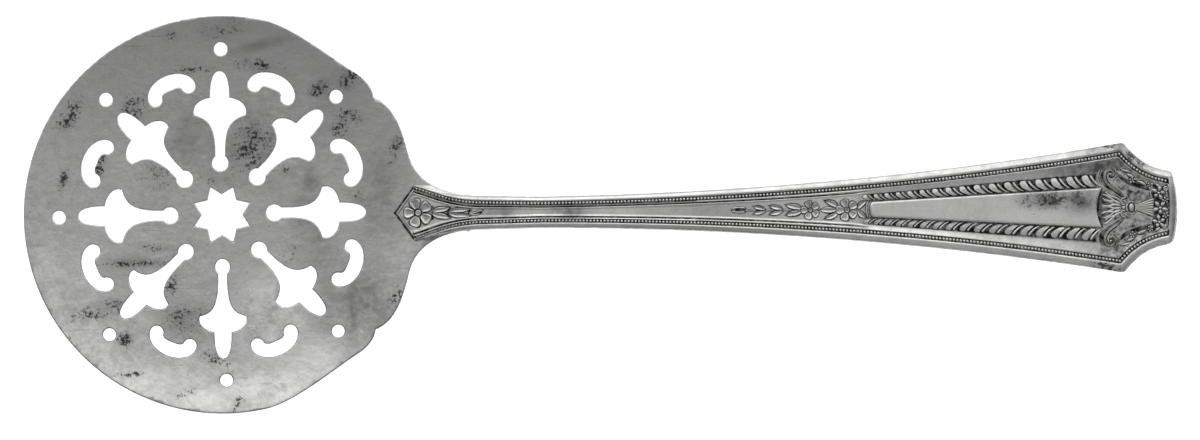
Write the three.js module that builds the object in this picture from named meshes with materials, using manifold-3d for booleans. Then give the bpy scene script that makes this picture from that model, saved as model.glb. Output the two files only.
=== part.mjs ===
// A tomato server: a pierced round head of sheet silver, lapped under a die-struck handle and joined to it
// by a film of hard solder. Sizes are millimetres and +Z is up. The server lies face up on the plane z = 0,
// with its length along X, the head towards -X and the origin midway along it.
// Plan positions are measured from the centre of the round head. Both blanks are cut and struck flat,
// then scored into strips and formed over one side profile, as the real ones are.

import * as THREE from "three";
import { mergeVertices } from "three/addons/utils/BufferGeometryUtils.js";
import Module from "manifold-3d";

// Head sheet
const HEAD_RADIUS = 34.6;
const HEAD_THICKNESS = 1.2;
const FLAT_RADIUS = 18; // the flat middle, which lies on the table
const DISH_DEPTH = 1.2; // how far the rim stands above the flat middle

// Shoulders, where the rim runs out into the neck: angles from the handle and insets from the head radius
const ROUND_END_ANGLE = 78;
const CHORD_END_ANGLE = 46;
const CHORD_END_INSET = 0.85;
const CUSP_ANGLE = 37.4;
const CUSP_INSET = 1.35;
const LOBE_END_ANGLE = 17.9;
const LOBE_END_INSET = 0.65;
const CHORD_SLOPE = -33.5;
const ROUND_EASE = 5; // lengths over which the outline turns from round to chord
const CHORD_EASE = 6;
const CUSP_HOLLOW = 0.4; // how far the small lobe is undercut before the cusp
const LOBE_LEAVE = [3.2, -1.3]; // how the large lobe leaves the cusp and arrives at its end
const LOBE_ARRIVE = [1.3, -5.2];
const NECK_EASE = 0.35; // fullness of the curve into the neck

// Neck and the tongue that runs on under the stem
const NECK_LENGTH = 10.1; // beyond the head radius
const NECK_HALF_WIDTH = 2.9;
const TONGUE_LENGTH = 17;
const TONGUE_HALF_WIDTH = 1.5;

// Piercings: eight fleurons, eight curved slots between them, drain holes and a star
const PETALS = 8;
const FLEURON_BALL_AT = 9.05;
const FLEURON_BALL_RADIUS = 1.33;
const FLEURON_STEM_HALF = 0.79;
const FLEURON_STEM_END = 12;
const FLEURON_WING_AT = 17.75;
const FLEURON_WING_HALF = 4.6;
const FLEURON_COLLAR_AT = 20.3;
const FLEURON_LOBE_HALF = 1.6;
const FLEURON_TIP = 25.05;
const SLOT_AT = 23.05;
const SLOT_HALF_LENGTH = 4.25;
const SLOT_RISE = 3;
const SLOT_END_RADIUS = 1.15;
const SLOT_INNER_RISE = 0.6;
const DRAIN_AT = 28.5;
const DRAIN_RADIUS = 1.1;
const STAR_POINT_RADIUS = 5.08;
const STAR_NOTCH_RADIUS = 3.45;

// Handle plan
const HANDLE_LENGTH = 136.3;
const DROP_LAP = 5; // how far the pointed drop reaches in over the round head
const DROP_POINT_LENGTH = 3.6;
const DROP_HALF_WIDTH = 4.95;
const STEM_START = 15; // from the drop's point
const STEM_HALF_WIDTH = 3;
const STEM_EASE = 0.15; // fullness of the curve from the drop into the stem
const WAIST_AT = 25.5; // from the drop's point
const WAIST_HALF_WIDTH = 2.8;
const EAR_BACK = 9.4; // the ears lie this far before the end
const EAR_HALF_WIDTH = 11.35;
const END_HALF_WIDTH = 6.4;
const END_CORNER = 0.6;
const END_BOW = 0.7;

// Struck relief of the handle
const RELIEF = 0.35; // rim above the sunk field
const EDGE_ROUND = 0.55;
const BEAD_MARGIN_NECK = 1.3; // from the edge to the middle of the bead row
const BEAD_MARGIN_END = 1.9;
const BEAD_MARGIN_DROP = 0.55;
const BEAD_CHANNEL_HALF = 0.32;
const BEAD_HALF = 0.24;
const BEAD_RISE = 0.3;
const BEAD_END_GAP = 0.4; // the bead rows stop this far short of both ends of their channels
const FILLET_NECK = 0.26; // plain band between bead channel and field
const FILLET_END = 0.7;
const DROP_BORDER = 0.65; // the raised border along the drop's point
const END_MARGIN = 1.6; // the plain margin across the end
const PANEL_BACK = 53.5; // the plain panel starts this far before the end
const PANEL_LENGTH = 40.2;
const PANEL_START_HALF = 1.35;
const PANEL_END_HALF = 3.5;
const PANEL_END_HOLLOW = 0.95;
const PANEL_RISE = 0.25;
const LEAF_GAP = 0.2; // between the panel and the band of leaves
const LEAF_START_LENGTH = 1.15;
const LEAF_END_LENGTH = 2.45;
const LEAF_RISE = 0.3;
const LEAF_PITCH = 1.12; // pitch of the leaves as a multiple of their length across the band

// One leaf of the bands, foot and ridge, as shares of its length along and across the band
const LEAF_BLADE = [[0.95, 0], [0.75, 0.65], [0.35, 1], [0, 0.9], [0.1, 0.45], [0.45, 0.05]];
const LEAF_RIDGE = [[0.75, 0.18], [0.6, 0.6], [0.34, 0.82], [0.2, 0.78], [0.28, 0.48], [0.5, 0.2]];

// Sprays on the field: wild roses as [place, radius], leaves as [root, its side step, tip, its side step,
// half width]. Those of the drop are placed from the drop's point, those of the blade back from the panel.
const ROSE_PETALS = 5;
const SPRAY_RISE = 0.3;
const DROP_ROSES = [[4.3, 2.3]];
const DROP_LEAVES = [[6.85, 0.12, 9.9, 0.95, 0.42], [9.75, 0.12, 13.4, 0.5, 0.3]];
const DROP_BUDS = [[13.2, 0, 15.7, 0.2, 0.16]];
const BLADE_ROSES = [[-10.6, 1.5], [-4.25, 1.8]];
const BLADE_LEAVES = [
  [-18.3, 0.06, -20.4, 0.55, 0.3],
  [-15.2, 0.06, -17.7, 0.62, 0.36],
  [-11.9, 0.06, -14.9, 0.78, 0.42],
  [-6.1, 0.35, -8.1, 1.45, 0.4],
  [-2.5, 0.1, -1.1, 1.35, 0.36],
];
const BLADE_BUDS = [[-21.8, 0, -23.9, 0, 0.38], [-6.2, 0, -9.1, 0, 0.48]];

// The tied sheaf, placed back from the end of the handle: scrolls, fanned stems, knot, stalks, blossoms
const SHEAF_RISE = 0.32;
const SCROLL_EYE = [-11.78, 5.8];
const SCROLL_EYE_RADIUS = 0.32;
const SCROLL_HALF = 0.21;
const SCROLL_RUN = [
  [-11.3, 6.3],
  [-11.8, 6.6],
  [-12.5, 6.4],
  [-12.8, 5.6],
  [-12.4, 4.2],
  [-10.9, 3.02],
  [-9.7, 2],
  [-9.95, 1],
];
const FAN_STEMS = 7;
const FAN_FOOT = [-9.8, 0.75];
const FAN_TIP = [-13.8, 2.9];
const FAN_HOLLOW = 0.85;
const FAN_STEM_HALF = 0.26;
const KNOT_AT = [-8.7, -7.6];
const KNOT_HALF = [0.2, 0.95];
const STALKS = 5;
const STALK_FOOT = [-7.4, 0.35];
const STALK_TIP = [-4.1, 1.5];
const STALK_HALF = 0.26;
const BLOSSOMS = [[-3, -2.55, 1.15], [-2.95, 0, 1.15], [-3, 2.55, 1.15]];
const GARLAND_LEAVES = [
  [-10.1, 6.75, -8.5, 5.85, 0.36],
  [-8.8, 5.35, -7.4, 4.55, 0.42],
  [-7.3, 4.75, -5.5, 3.85, 0.4],
  [-5.35, 4, -4.05, 3.25, 0.38],
];

// Thickness and side profile
const BLANK = 2; // flat handle blank before forming
const UNDER_ROUND = 0.6;
const DROP_THICKNESS = 0.4;
const STEM_THICKNESS = 1.9;
const END_THICKNESS = 1.6;
const TONGUE_THICKNESS = 0.8;
const SOLDER_THICKNESS = 0.15;
const SOLDER_CLEARANCE = 0.1; // on each side of the film
const SOLDER_INSET = 0.35;
const PEAK_AT = 62; // highest point of the arch, from the drop's point
const PEAK_HEIGHT = 12;
const TIP_SLOPE = -0.2;

// Sampling
const CURVE_STEPS = 4;
const SHOULDER_STEPS = 6;
const RIM_STEPS = 26;
const STRIP = 5; // length of one formed strip of the handle
const RING = 4.3; // width of one formed ring of the head
const RING_SIDES = 40;
const SAFE = 5; // how far a cutter runs past what it cuts

// Derived positions
const dropPoint = HEAD_RADIUS - DROP_LAP;
const stemStart = dropPoint + STEM_START;
const waist = dropPoint + WAIST_AT;
const handleEnd = dropPoint + HANDLE_LENGTH;
const earAt = handleEnd - EAR_BACK;
const neckEnd = HEAD_RADIUS + NECK_LENGTH;
const tongueEnd = neckEnd + TONGUE_LENGTH;
const panelStart = handleEnd - PANEL_BACK;
const panelEnd = panelStart + PANEL_LENGTH;
const jointGap = SOLDER_THICKNESS + 2 * SOLDER_CLEARANCE;

const wasm = await Module();
wasm.setup();

// Small helpers on numbers and plan points
const radians = THREE.MathUtils.degToRad;
const point = (x, y) => new THREE.Vector2(x, y);
const polar = (radius, degrees) => point(radius, 0).rotateAround(point(0, 0), radians(degrees));
const ease = (x, x0, x1) => THREE.MathUtils.smoothstep(x, x0, x1);
const between = (a, b, share) => a + (b - a) * share;

function hermite(x, x0, z0, slope0, x1, z1, slope1) {
  const length = x1 - x0;
  const t = (x - x0) / length;
  const rise = z1 - z0;
  const a = slope0 * length;
  const b = slope1 * length;
  return z0 + t * (a + t * (3 * rise - 2 * a - b + t * (a + b - 2 * rise)));
}

// Mirrors an upper half outline, whose first and last points lie on the X axis, into a closed outline.
function mirrored(upper) {
  const lower = upper.slice(1, -1).reverse();
  const closed = [...upper, ...lower.map((p) => point(p.x, -p.y))];
  return THREE.ShapeUtils.isClockWise(closed) ? closed.reverse() : closed;
}

// Moves each point of an open or closed run of points to its left by a distance that may vary along it.
function offset(points, distance, closed) {
  const count = points.length;
  return points.map((p, i) => {
    const before = closed || i > 0 ? points[(i + count - 1) % count] : null;
    const after = closed || i < count - 1 ? points[(i + 1) % count] : null;
    const into = before ? p.clone().sub(before).normalize() : after.clone().sub(p).normalize();
    const out = after ? after.clone().sub(p).normalize() : into;
    const bisector = point(-into.y - out.y, into.x + out.x);
    const reach = (2 * distance(p)) / bisector.lengthSq();
    return p.clone().addScaledVector(bisector, reach);
  });
}

// Solids. A closed outline is counter-clockwise, and every ring of one stack has the same number of points.
function solidOf(positions, triangles) {
  const geometry = new THREE.BufferGeometry();
  geometry.setAttribute("position", new THREE.Float32BufferAttribute(positions, 3));
  geometry.setIndex(triangles);
  const merged = mergeVertices(geometry, 1e-4);
  return new wasm.Manifold(
    new wasm.Mesh({
      numProp: 3,
      vertProperties: new Float32Array(merged.attributes.position.array),
      triVerts: new Uint32Array(merged.index.array),
    }),
  );
}

// Stacks rings of plan points at rising heights into one closed solid.
function stack(rings) {
  const count = rings[0].points.length;
  const positions = rings.flatMap(({ points, z }) => points.flatMap((p) => [p.x, p.y, z]));
  const triangles = [];
  rings.slice(1).forEach((ring, level) => {
    for (let i = 0; i < count; i += 1) {
      const next = (i + 1) % count;
      const low = level * count;
      const high = low + count;
      triangles.push(low + i, low + next, high + next, low + i, high + next, high + i);
    }
  });
  const cap = (ring) => THREE.ShapeUtils.triangulateShape(ring.points, []);
  const top = (rings.length - 1) * count;
  cap(rings[0]).forEach(([a, b, c]) => triangles.push(a, c, b));
  cap(rings[rings.length - 1]).forEach(([a, b, c]) => triangles.push(top + a, top + b, top + c));
  return solidOf(positions, triangles);
}

// A rectangle from the head's centre along X, as wide on both sides
const rectangle = (x, y) => [point(0, -y), point(x, -y), point(x, y), point(0, y)];

function prism(points, low, high) {
  return stack([
    { points, z: low },
    { points, z: high },
  ]);
}

const join = (solids) => solids.reduce((whole, solid) => whole.add(solid));

// Copies a solid as a new original, whose edges later joins keep.
function fresh(solid) {
  const { vertProperties, triVerts } = solid.getMesh();
  return new wasm.Manifold(new wasm.Mesh({ numProp: 3, vertProperties, triVerts }));
}

// Turns a flat solid into a formed geometry: each cutter in turn parts a strip from it, the strips are put
// together again with their edges kept, and every point is then moved, so the sheet bends at those edges.
function formed(solid, cutters, move) {
  const strips = [];
  let rest = solid;
  for (const cutter of cutters) {
    strips.push(fresh(rest.intersect(cutter)));
    rest = rest.subtract(cutter);
  }
  const { vertProperties, triVerts } = join([...strips, fresh(rest)]).getMesh();
  const moved = [];
  for (let i = 0; i < vertProperties.length; i += 3) moved.push(...move(vertProperties.subarray(i, i + 3)));
  const geometry = new THREE.BufferGeometry();
  geometry.setAttribute("position", new THREE.Float32BufferAttribute(moved, 3));
  geometry.setIndex(Array.from(triVerts));
  const faceted = geometry.toNonIndexed();
  faceted.computeVertexNormals();
  return faceted;
}

// Cutters for strips across the length, and for rings round the head, at even steps between two places
function steps(from, to, length) {
  const count = Math.max(1, Math.ceil((to - from) / length));
  return Array.from({ length: count - 1 }, (_, i) => between(from, to, (i + 1) / count));
}

function stripCutters(from, to) {
  return steps(from, to, STRIP).map((x) => {
    return prism(rectangle(x, HEAD_RADIUS), -SAFE, SAFE);
  });
}

function ringCutters(from, to) {
  return [from, ...steps(from, to, RING)].map((radius) => {
    const ring = Array.from({ length: RING_SIDES }, (_, i) => polar(radius, ((i + 0.5) * 360) / RING_SIDES));
    return prism(ring, -SAFE, SAFE);
  });
}

// Side profile: the height of the lap seat, which is the top of the head sheet, by distance from the centre
function seat(distance) {
  const curl = DISH_DEPTH / (HEAD_RADIUS - FLAT_RADIUS) ** 2;
  const climb = Math.max(0, distance - FLAT_RADIUS);
  if (distance <= neckEnd) return HEAD_THICKNESS + curl * climb ** 2;
  const run = neckEnd - FLAT_RADIUS;
  const neckHeight = HEAD_THICKNESS + curl * run ** 2;
  const peak = dropPoint + PEAK_AT;
  if (distance <= peak) return hermite(distance, neckEnd, neckHeight, 2 * curl * run, peak, PEAK_HEIGHT, 0);
  return hermite(distance, peak, PEAK_HEIGHT, 0, handleEnd - UNDER_ROUND, -jointGap, TIP_SLOPE);
}

function formHead([x, y, z]) {
  const distance = Math.hypot(x, y);
  const thin = ease(distance, HEAD_RADIUS, tongueEnd);
  const thickness = between(HEAD_THICKNESS, TONGUE_THICKNESS, thin);
  return [x, y, seat(distance) - thickness * (1 - z / HEAD_THICKNESS)];
}

function formHandle([x, y, z]) {
  const swell = between(DROP_THICKNESS, STEM_THICKNESS, ease(x, dropPoint, waist));
  const thickness = between(swell, END_THICKNESS, ease(x, waist, handleEnd));
  const field = seat(x) + jointGap + thickness;
  return [x, y, z < 0 ? field + (z * thickness) / BLANK : field + z];
}

function formSolder([x, y, z]) {
  return [x, y, seat(x) + SOLDER_CLEARANCE + z];
}

// Head outline: the round rim, a chord, a small lobe to the cusp, a large lobe, the neck and the tongue
function headOutline() {
  const chordEnd = polar(HEAD_RADIUS - CHORD_END_INSET, CHORD_END_ANGLE);
  const cusp = polar(HEAD_RADIUS - CUSP_INSET, CUSP_ANGLE);
  const lobeEnd = polar(HEAD_RADIUS - LOBE_END_INSET, LOBE_END_ANGLE);
  const roundEnd = polar(HEAD_RADIUS, ROUND_END_ANGLE);
  const rim = new THREE.EllipseCurve(0, 0, HEAD_RADIUS, HEAD_RADIUS, Math.PI, radians(ROUND_END_ANGLE), true);
  const shoulder = new THREE.Path().moveTo(roundEnd.x, roundEnd.y);
  const leave = roundEnd.clone().add(polar(ROUND_EASE, ROUND_END_ANGLE - 90));
  const arrive = chordEnd.clone().sub(polar(CHORD_EASE, CHORD_SLOPE));
  shoulder.bezierCurveTo(leave.x, leave.y, arrive.x, arrive.y, chordEnd.x, chordEnd.y);
  shoulder.quadraticCurveTo(cusp.x - CUSP_HOLLOW, between(cusp.y, chordEnd.y, 0.6), cusp.x, cusp.y);
  const lobeStart = cusp.clone().add(point(...LOBE_LEAVE));
  const lobeFall = lobeEnd.clone().sub(point(...LOBE_ARRIVE));
  shoulder.bezierCurveTo(lobeStart.x, lobeStart.y, lobeFall.x, lobeFall.y, lobeEnd.x, lobeEnd.y);
  const sweep = neckEnd - lobeEnd.x;
  const turn = between(NECK_HALF_WIDTH, lobeEnd.y, 0.46);
  const leaving = point(lobeEnd.x + 0.08 * sweep, turn);
  const settling = point(lobeEnd.x + 0.36 * sweep, NECK_HALF_WIDTH + NECK_EASE);
  shoulder.bezierCurveTo(leaving.x, leaving.y, settling.x, settling.y, neckEnd, NECK_HALF_WIDTH);
  shoulder.lineTo(tongueEnd - TONGUE_HALF_WIDTH, TONGUE_HALF_WIDTH);
  shoulder.absarc(tongueEnd - TONGUE_HALF_WIDTH, 0, TONGUE_HALF_WIDTH, Math.PI / 2, 0, true);
  return mirrored([...rim.getPoints(RIM_STEPS).slice(0, -1), ...shoulder.getPoints(SHOULDER_STEPS)]);
}

// One fleuron, pointing along +X: ball, flared stem, wings and a rounded lobe
function fleuron() {
  const ballMeets = Math.asin(FLEURON_STEM_HALF / FLEURON_BALL_RADIUS);
  const half = new THREE.Path();
  half.absarc(FLEURON_BALL_AT, 0, FLEURON_BALL_RADIUS, Math.PI, ballMeets, true);
  half.lineTo(FLEURON_STEM_END, FLEURON_STEM_HALF);
  const flare = FLEURON_WING_AT - FLEURON_STEM_END;
  const spread = FLEURON_WING_HALF - FLEURON_STEM_HALF;
  half.bezierCurveTo(
    FLEURON_STEM_END + 0.68 * flare,
    FLEURON_STEM_HALF + 0.07 * spread,
    FLEURON_WING_AT - 0.13 * flare,
    FLEURON_STEM_HALF + 0.34 * spread,
    FLEURON_WING_AT,
    FLEURON_WING_HALF,
  );
  const wing = FLEURON_COLLAR_AT - FLEURON_WING_AT;
  half.bezierCurveTo(
    FLEURON_WING_AT + 0.6 * wing,
    FLEURON_WING_HALF - 0.1 * spread,
    FLEURON_COLLAR_AT - 0.1 * wing,
    between(FLEURON_LOBE_HALF, FLEURON_WING_HALF, 0.55),
    FLEURON_COLLAR_AT,
    FLEURON_LOBE_HALF,
  );
  const lobe = FLEURON_TIP - FLEURON_COLLAR_AT;
  const shoulder = FLEURON_COLLAR_AT + 0.6 * lobe;
  half.bezierCurveTo(shoulder, FLEURON_LOBE_HALF, FLEURON_TIP, 0.55 * FLEURON_LOBE_HALF, FLEURON_TIP, 0);
  return mirrored(half.getPoints(CURVE_STEPS));
}

// One curved slot, lying across +X: an elliptical back, two round ends and a straight inner edge
function curvedSlot() {
  const endAt = SLOT_HALF_LENGTH - SLOT_END_RADIUS;
  const innerHalf = endAt - SLOT_END_RADIUS;
  const quarter = new THREE.Path();
  quarter.absellipse(SLOT_AT, 0, SLOT_RISE, SLOT_HALF_LENGTH, 0, Math.PI / 2, false);
  quarter.absarc(SLOT_AT, endAt, SLOT_END_RADIUS, Math.PI / 2, (3 * Math.PI) / 2, false);
  quarter.lineTo(SLOT_AT + SLOT_INNER_RISE, innerHalf - SLOT_INNER_RISE);
  quarter.lineTo(SLOT_AT + SLOT_INNER_RISE, 0);
  return mirrored(quarter.getPoints(CURVE_STEPS));
}

function star() {
  return Array.from({ length: 2 * PETALS }, (_, i) =>
    polar(i % 2 ? STAR_POINT_RADIUS : STAR_NOTCH_RADIUS, (i * 180) / PETALS),
  );
}

function drainHole() {
  const round = new THREE.EllipseCurve(DRAIN_AT, 0, DRAIN_RADIUS, DRAIN_RADIUS, 0, 2 * Math.PI);
  return round.getPoints(3 * CURVE_STEPS).slice(0, -1);
}

function turned(points, degrees) {
  return points.map((p) => p.clone().rotateAround(point(0, 0), radians(degrees)));
}

function piercedHead() {
  const pitch = 360 / PETALS;
  const cutters = [star()];
  for (let i = 0; i < PETALS; i += 1) {
    cutters.push(turned(fleuron(), i * pitch), turned(curvedSlot(), (i + 0.5) * pitch));
    if (i > 0) cutters.push(turned(drainHole(), i * pitch));
  }
  const blank = prism(headOutline(), 0, HEAD_THICKNESS);
  const pierced = blank.subtract(join(cutters.map((c) => prism(c, -SAFE, HEAD_THICKNESS + SAFE))));
  return formed(pierced, ringCutters(FLAT_RADIUS, tongueEnd), formHead);
}

// Handle plan: upper half of the drop, stem and flare up to the ear, then the scallop and the end
function handleSide() {
  const corner = point(dropPoint + DROP_POINT_LENGTH, DROP_HALF_WIDTH);
  const side = new THREE.Path().moveTo(corner.x, corner.y);
  const sweep = stemStart - corner.x;
  side.bezierCurveTo(
    corner.x + 0.3 * sweep,
    between(STEM_HALF_WIDTH, corner.y, 0.55),
    corner.x + 0.45 * sweep,
    STEM_HALF_WIDTH + STEM_EASE,
    stemStart,
    STEM_HALF_WIDTH,
  );
  side.lineTo(waist, WAIST_HALF_WIDTH);
  const flare = earAt - waist;
  const spread = EAR_HALF_WIDTH - WAIST_HALF_WIDTH;
  side.bezierCurveTo(
    waist + flare / 3,
    WAIST_HALF_WIDTH + 0.03 * spread,
    waist + (2 * flare) / 3,
    WAIST_HALF_WIDTH + 0.35 * spread,
    earAt,
    EAR_HALF_WIDTH,
  );
  return side.getPoints(2 * CURVE_STEPS);
}

function handleScallop() {
  const bow = handleEnd - END_BOW;
  const drop = EAR_HALF_WIDTH - END_HALF_WIDTH;
  const scallop = new THREE.Path().moveTo(earAt, EAR_HALF_WIDTH);
  scallop.bezierCurveTo(
    earAt + 0.18 * EAR_BACK,
    EAR_HALF_WIDTH - 0.45 * drop,
    earAt + 0.4 * EAR_BACK,
    END_HALF_WIDTH + 0.14 * drop,
    bow - END_CORNER,
    END_HALF_WIDTH,
  );
  return scallop.getPoints(CURVE_STEPS);
}

function handleOutline() {
  const end = new THREE.Path().moveTo(handleEnd - END_BOW, END_HALF_WIDTH - END_CORNER);
  end.quadraticCurveTo(handleEnd, END_HALF_WIDTH / 2, handleEnd, 0);
  const side = [...handleSide(), ...handleScallop().slice(1)];
  return mirrored([point(dropPoint, 0), ...side, ...end.getPoints(CURVE_STEPS)]);
}

// Distance from the edge to the bead row and to the sunk field, by position along the handle
function beadMargin(x) {
  const neck = between(BEAD_MARGIN_DROP, BEAD_MARGIN_NECK, ease(x, dropPoint + DROP_POINT_LENGTH, stemStart));
  return between(neck, BEAD_MARGIN_END, ease(x, stemStart, earAt));
}

function fieldMargin(x) {
  const fillet = between(FILLET_NECK, FILLET_END, ease(x, waist, earAt));
  return beadMargin(x) + BEAD_CHANNEL_HALF + fillet;
}

// Closed band of points along the upper side and scallop, between two distances from the edge
function borderBand(near, far) {
  const run = [...handleSide(), ...handleScallop().slice(1)].reverse();
  const inner = offset(run, (p) => far(p.x), false);
  const outer = offset(run, (p) => near(p.x), false);
  return [...outer, ...inner.reverse()];
}

// The sunk field inside the border, from the drop's point to the margin across the end
function fieldPocket() {
  const run = [point(dropPoint, 0), ...handleSide(), ...handleScallop().slice(1)].reverse();
  const inside = offset(run, (p) => (p.x > dropPoint ? fieldMargin(p.x) : DROP_BORDER), false).slice(0, -1);
  const steepness = DROP_HALF_WIDTH / Math.hypot(DROP_HALF_WIDTH, DROP_POINT_LENGTH);
  const tail = [point(handleEnd, 0), point(handleEnd, inside[0].y)];
  const field = mirrored([...tail, ...inside, point(dropPoint + DROP_BORDER / steepness, 0)]);
  const end = handleEnd - END_MARGIN;
  const limits = prism(rectangle(end, EAR_HALF_WIDTH), -SAFE, RELIEF + 2 * SAFE);
  return prism(field, 0, RELIEF + SAFE).intersect(limits);
}

const flipped = (points) => points.map((p) => point(p.x, -p.y)).reverse();
const bothSides = (points) => [points, flipped(points)];

// The plain panel: straight flaring sides, a square start and a hollow end
function panelOutline() {
  const half = new THREE.Path().moveTo(panelStart, 0);
  half.quadraticCurveTo(panelStart, PANEL_START_HALF, panelStart + PANEL_START_HALF / 2, PANEL_START_HALF);
  half.lineTo(panelEnd, PANEL_END_HALF);
  half.quadraticCurveTo(panelEnd - PANEL_END_HOLLOW, PANEL_END_HALF / 2, panelEnd - PANEL_END_HOLLOW, 0);
  return mirrored(half.getPoints(CURVE_STEPS));
}

// Leaves of one band: slanted blades between the panel and the fillet, growing towards the end
function leafBand() {
  const leaves = [];
  const share = (x) => (x - panelStart) / PANEL_LENGTH;
  const length = (x) => between(LEAF_START_LENGTH, LEAF_END_LENGTH, share(x));
  for (let x = panelStart; x + LEAF_PITCH * length(x) < panelEnd; x += LEAF_PITCH * length(x)) {
    const size = length(x);
    const foot = between(PANEL_START_HALF, PANEL_END_HALF, share(x)) + LEAF_GAP;
    const place = ([along, across]) => point(x + along * size, foot + across * size);
    leaves.push({ base: LEAF_BLADE.map(place), crest: LEAF_RIDGE.map(place) });
  }
  return leaves;
}

function leafSolid({ base, crest }) {
  return stack([
    { points: base, z: -RELIEF },
    { points: base, z: LEAF_RISE / 3 },
    { points: crest, z: LEAF_RISE },
  ]);
}

// Relief on the field: a foot outline, counter-clockwise, drawn in to a smaller crest
function reliefSolid(base, rise) {
  const middle = base.reduce((sum, p) => sum.add(p), point(0, 0)).divideScalar(base.length);
  const crest = base.map((p) => p.clone().lerp(middle, 0.4));
  return stack([
    { points: base, z: -RELIEF },
    { points: base, z: rise / 3 },
    { points: crest, z: rise },
  ]);
}

// A leaf or petal from root to tip: the shares along and across it give its foot outline
const POINTED = [[0, 0], [0.25, -0.8], [0.6, -0.9], [1, 0], [0.6, 0.9], [0.25, 0.8]];
const ROUNDED = [[0, -0.25], [0.4, -0.9], [0.75, -1], [1, -0.5], [1, 0.5], [0.75, 1], [0.4, 0.9], [0, 0.25]];

function relief(shares, root, tip, half, rise) {
  const along = tip.clone().sub(root);
  const across = point(-along.y, along.x).setLength(half);
  const base = shares.map(([a, b]) => root.clone().addScaledVector(along, a).addScaledVector(across, b));
  return reliefSolid(base, rise);
}

function boss(centre, radius, rise) {
  const base = Array.from({ length: 8 }, (_, i) => polar(radius, 45 * i).add(centre));
  return reliefSolid(base, rise);
}

// A wild rose: round petals about a boss, one petal pointing back along the handle
function rose(centre, radius, rise) {
  const petals = Array.from({ length: ROSE_PETALS }, (_, i) => {
    const ray = polar(1, 180 + (i * 360) / ROSE_PETALS);
    const root = centre.clone().addScaledVector(ray, 0.22 * radius);
    const tip = centre.clone().addScaledVector(ray, radius);
    return relief(ROUNDED, root, tip, 0.36 * radius, rise);
  });
  return [...petals, boss(centre, 0.26 * radius, rise)];
}

function leafPair(from, [root, rootSide, tip, tipSide, half], rise) {
  return [1, -1].map((side) =>
    relief(POINTED, point(from + root, side * rootSide), point(from + tip, side * tipSide), half, rise),
  );
}

function spray(from, roses, leaves, buds) {
  return [
    ...roses.flatMap(([place, radius]) => rose(point(from + place, 0), radius, SPRAY_RISE)),
    ...leaves.flatMap((leaf) => leafPair(from, leaf, SPRAY_RISE)),
    ...buds.map(([root, rootSide, tip, tipSide, half]) =>
      relief(POINTED, point(from + root, rootSide), point(from + tip, tipSide), half, SPRAY_RISE),
    ),
  ];
}

// The tied sheaf between the panel and the end, the same above and below the middle line
function sheaf() {
  const solids = [];
  const place = ([x, y]) => point(handleEnd + x, y);
  const run = SCROLL_RUN.map(place);
  const outer = offset(run, () => -SCROLL_HALF, false);
  const inner = offset(run, () => SCROLL_HALF, false);
  const band = [...outer, ...inner.reverse()];
  for (const outline of bothSides(band)) solids.push(prism(outline, -RELIEF, SHEAF_RISE));
  for (const side of [1, -1]) {
    const eye = place(SCROLL_EYE);
    solids.push(boss(point(eye.x, side * eye.y), SCROLL_EYE_RADIUS, SHEAF_RISE));
  }
  for (let i = 0; i < FAN_STEMS; i += 1) {
    const share = (2 * i) / (FAN_STEMS - 1) - 1;
    const foot = point(handleEnd + FAN_FOOT[0], share * FAN_FOOT[1]);
    const tip = point(handleEnd + FAN_TIP[0] + FAN_HOLLOW * share ** 2, share * FAN_TIP[1]);
    solids.push(relief(POINTED, foot, tip, FAN_STEM_HALF, SHEAF_RISE));
  }
  for (let i = 0; i < STALKS; i += 1) {
    const share = (2 * i) / (STALKS - 1) - 1;
    const foot = point(handleEnd + STALK_FOOT[0], share * STALK_FOOT[1]);
    const tip = point(handleEnd + STALK_TIP[0], share * STALK_TIP[1]);
    solids.push(relief(ROUNDED, foot, tip, STALK_HALF, SHEAF_RISE));
  }
  for (const x of KNOT_AT) {
    const [half, reach] = KNOT_HALF;
    solids.push(relief(ROUNDED, point(handleEnd + x, -reach), point(handleEnd + x, reach), half, SHEAF_RISE));
  }
  for (const [x, y, radius] of BLOSSOMS) solids.push(...rose(place([x, y]), radius, SHEAF_RISE));
  for (const leaf of GARLAND_LEAVES) solids.push(...leafPair(handleEnd, leaf, SHEAF_RISE));
  return solids;
}

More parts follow.
